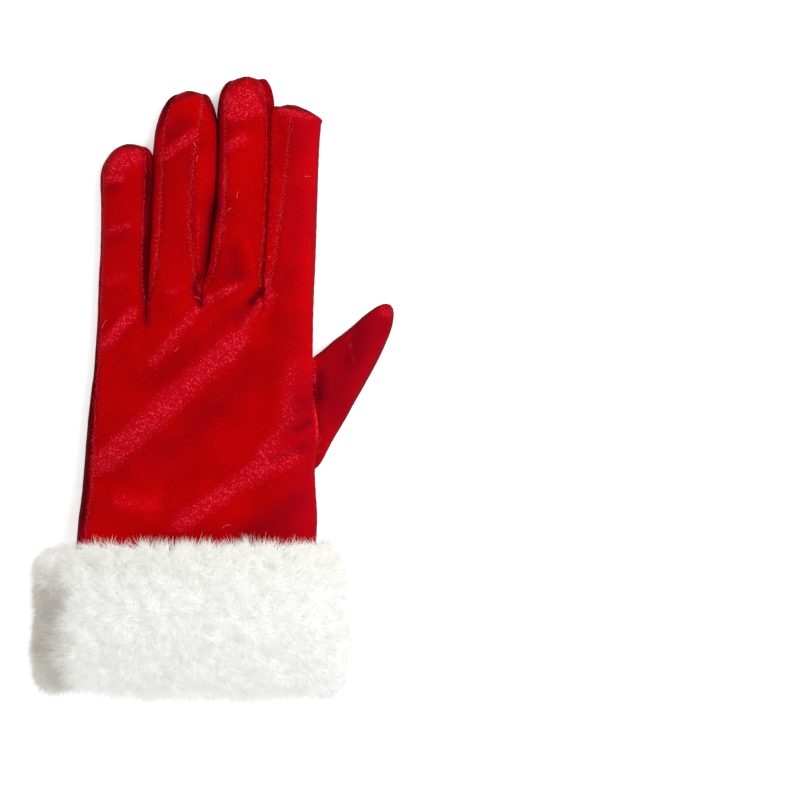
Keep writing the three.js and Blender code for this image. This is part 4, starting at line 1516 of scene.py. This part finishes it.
class GLOVE_OT_grow_plush(bpy.types.Operator):
    """Grow the cuff's wool and its long hair"""

    bl_idname = "glove.grow_plush"
    bl_label = "Grow the plush"

    def execute(self, context):
        settings = context.scene.plush
        random = np.random.default_rng(7)
        plush = shared_material("white_plush", plush_material, settings)
        points, faces, hairy = cuff_wool(settings)
        normals = vertex_normals(points, faces)
        locks = LOCKS * waves(points, LOCKS_SIZE, 6) + TUFTS * waves(points, TUFTS_SIZE, 7)
        fluff = points + normals * locks[:, None]
        fluff[:, 2] = np.maximum(fluff[:, 2], WOOL_FLOOR)
        wool, wool_faces = weld(fluff, faces)
        tone = WOOL_TONE * tone_of(wool)
        make_piece("plush_wool", wool, wool_faces, plush, "fur_cuff", {"tone": tone})

        bearing = faces[hairy]
        a, b, c = (points[bearing[:, i]] for i in range(3))
        cross = np.cross(b - a, c - a)
        area = np.linalg.norm(cross, axis=1)
        facing = unit(cross)
        weight = area * np.where(facing[:, 2] < -0.5, UNDER_SHARE, 1.0)

        def scatter_roots(count):
            chosen = random.choice(len(bearing), count, p=weight / weight.sum())
            u, v = np.sqrt(random.random(count)), random.random(count)
            shares = np.stack([1 - u, u * (1 - v), u * v], -1)
            root = np.einsum("ni,nij->nj", shares, points[bearing[chosen]])
            outward = unit(np.einsum("ni,nij->nj", shares, normals[bearing[chosen]]))
            return root, outward

        tuft_root, tuft_outward = scatter_roots(settings.clumps)
        tuft_comb = comb_directions(tuft_root, tuft_outward, random.random((settings.clumps, 2)))
        tuft_length = settings.hair_length * lerp(*TUFT_LENGTHS, random.random(settings.clumps))
        tuft_rise = lerp(*TUFT_RISES, random.random(settings.clumps))
        root, outward = scatter_roots(settings.strands)
        _, tuft = nearest(tuft_root, root)
        draw = random.random((settings.strands, 4))
        comb = unit(tuft_comb[tuft] + HAIR_STRAY * (draw[:, :3] - 0.5))
        comb = unit(comb - outward * np.sum(comb * outward, axis=1, keepdims=True))
        length = tuft_length[tuft] * lerp(*HAIR_LENGTHS, draw[:, 3])
        share = np.array([0, 0.5, 1.0])
        rise = (tuft_rise[tuft] * length)[:, None] * (1.5 * share - 0.5 * share**2)
        run = length[:, None] * (0.55 * share + 0.35 * share**2)
        gather = GATHER * share**1.5
        start = root - outward * ROOT_DEPTH
        spread = tuft_root[tuft] - root
        paths = (
            start[:, None]
            + outward[:, None] * rise[..., None]
            + comb[:, None] * run[..., None]
            + spread[:, None] * gather[None, :, None]
        )
        paths[..., 2] = np.maximum(paths[..., 2], HAIR_FLOOR)
        widths = settings.hair_width * HAIR_WIDTHS
        # The hair's painted shade, read at its root, times its own random tone.
        whiteness = tone_of(root) * lerp(*HAIR_TONES, random.random(settings.strands))
        strand_tone = whiteness[:, None] * HAIR_SHADING
        shares = np.array_split(random.permutation(settings.strands), HAIR_PIECES)
        for number, chosen in enumerate(shares, start=1):
            hair, hair_faces = tubes(paths[chosen], widths, 3)
            tone = np.clip(np.repeat(strand_tone[chosen], [3, 3, 1], axis=1).ravel(), 0, 1)
            name = f"plush_hair_{number}"
            make_piece(name, hair, hair_faces, plush, "fur_cuff", {"tone": tone})
        return {"FINISHED"}


# In metres: how far the floor is below the glove, so that the two faces don't flicker, and the size and
# the place of the softbox.
FLOOR_DROP = 0.0003
SOFTBOX_SIZE = 0.7
SOFTBOX_PLACE = (0.6, 0.35, 0.85)


class GLOVE_OT_set_stage(bpy.types.Operator):
    """Set the floor, the lights and the camera"""

    bl_idname = "glove.set_stage"
    bl_label = "Set the stage"

    def execute(self, context):
        scene = context.scene
        settings = scene.stage
        half = settings.floor_size / 2
        mesh = bpy.data.meshes.new("floor")
        corners = [(x * half, y * half, -FLOOR_DROP) for x, y in ((-1, -1), (1, -1), (1, 1), (-1, 1))]
        mesh.from_pydata(corners, [], [(0, 1, 2, 3)])
        floor = bpy.data.objects.new("floor", mesh)
        scene.collection.objects.link(floor)
        mesh.materials.append(floor_material(settings))

        world = bpy.data.worlds.new("studio")
        world.use_nodes = True
        sky = world.node_tree.nodes["Background"]
        sky.inputs["Color"].default_value = (1.0, 1.0, 1.0, 1.0)
        sky.inputs["Strength"].default_value = settings.world_strength
        scene.world = world

        softbox = bpy.data.lights.new("softbox", "AREA")
        softbox.shape = "DISK"
        softbox.size = SOFTBOX_SIZE
        softbox.energy = settings.lamp_power
        lamp = bpy.data.objects.new("softbox", softbox)
        lamp.location = SOFTBOX_PLACE
        lamp.rotation_euler = (-lamp.location).to_track_quat("-Z", "Y").to_euler()
        scene.collection.objects.link(lamp)

        camera_data = bpy.data.cameras.new("camera")
        camera_data.lens = settings.lens
        camera_data.clip_end = 100
        camera = bpy.data.objects.new("camera", camera_data)
        distance = settings.view_width * settings.lens / camera_data.sensor_width
        camera.location = Vector(settings.view_centre) + Vector((0, 0, distance))
        scene.collection.objects.link(camera)
        scene.camera = camera
        scene.view_settings.view_transform = "Standard"
        return {"FINISHED"}


class GLOVE_PT_sidebar(bpy.types.Panel):
    """The glove's settings and the steps that make it"""

    bl_idname = "GLOVE_PT_sidebar"
    bl_label = "Velvet glove"
    bl_space_type = "VIEW_3D"
    bl_region_type = "UI"
    bl_category = "Glove"

    def draw(self, context):
        for group in ("velvet", "stitches", "plush", "stage"):
            box = self.layout.box()
            settings = getattr(context.scene, group)
            for name in settings.bl_rna.properties.keys():
                if name not in ("rna_type", "name"):
                    box.prop(settings, name)
        for step in STEPS:
            self.layout.operator(step.bl_idname)


GROUPS = {
    "velvet": VelvetSettings,
    "stitches": StitchSettings,
    "plush": PlushSettings,
    "stage": StageSettings,
}
STEPS = [
    GLOVE_OT_set_stage,
    GLOVE_OT_sew_panels,
    GLOVE_OT_sew_fourchettes,
    GLOVE_OT_sew_thumb,
    GLOVE_OT_stitch_seams,
    GLOVE_OT_fluff_seams,
    GLOVE_OT_scatter_lint,
    GLOVE_OT_line_cuff,
    GLOVE_OT_grow_plush,
]


def register():
    for made in [*GROUPS.values(), *STEPS, GLOVE_PT_sidebar]:
        bpy.utils.register_class(made)
    for name, group in GROUPS.items():
        setattr(bpy.types.Scene, name, PointerProperty(type=group))


def unregister():
    for name in GROUPS:
        delattr(bpy.types.Scene, name)
    for made in reversed([*GROUPS.values(), *STEPS, GLOVE_PT_sidebar]):
        bpy.utils.unregister_class(made)


def main():
    register()
    for step in STEPS:
        group, name = step.bl_idname.split(".")
        getattr(getattr(bpy.ops, group), name)()


if __name__ == "__main__":
    main()
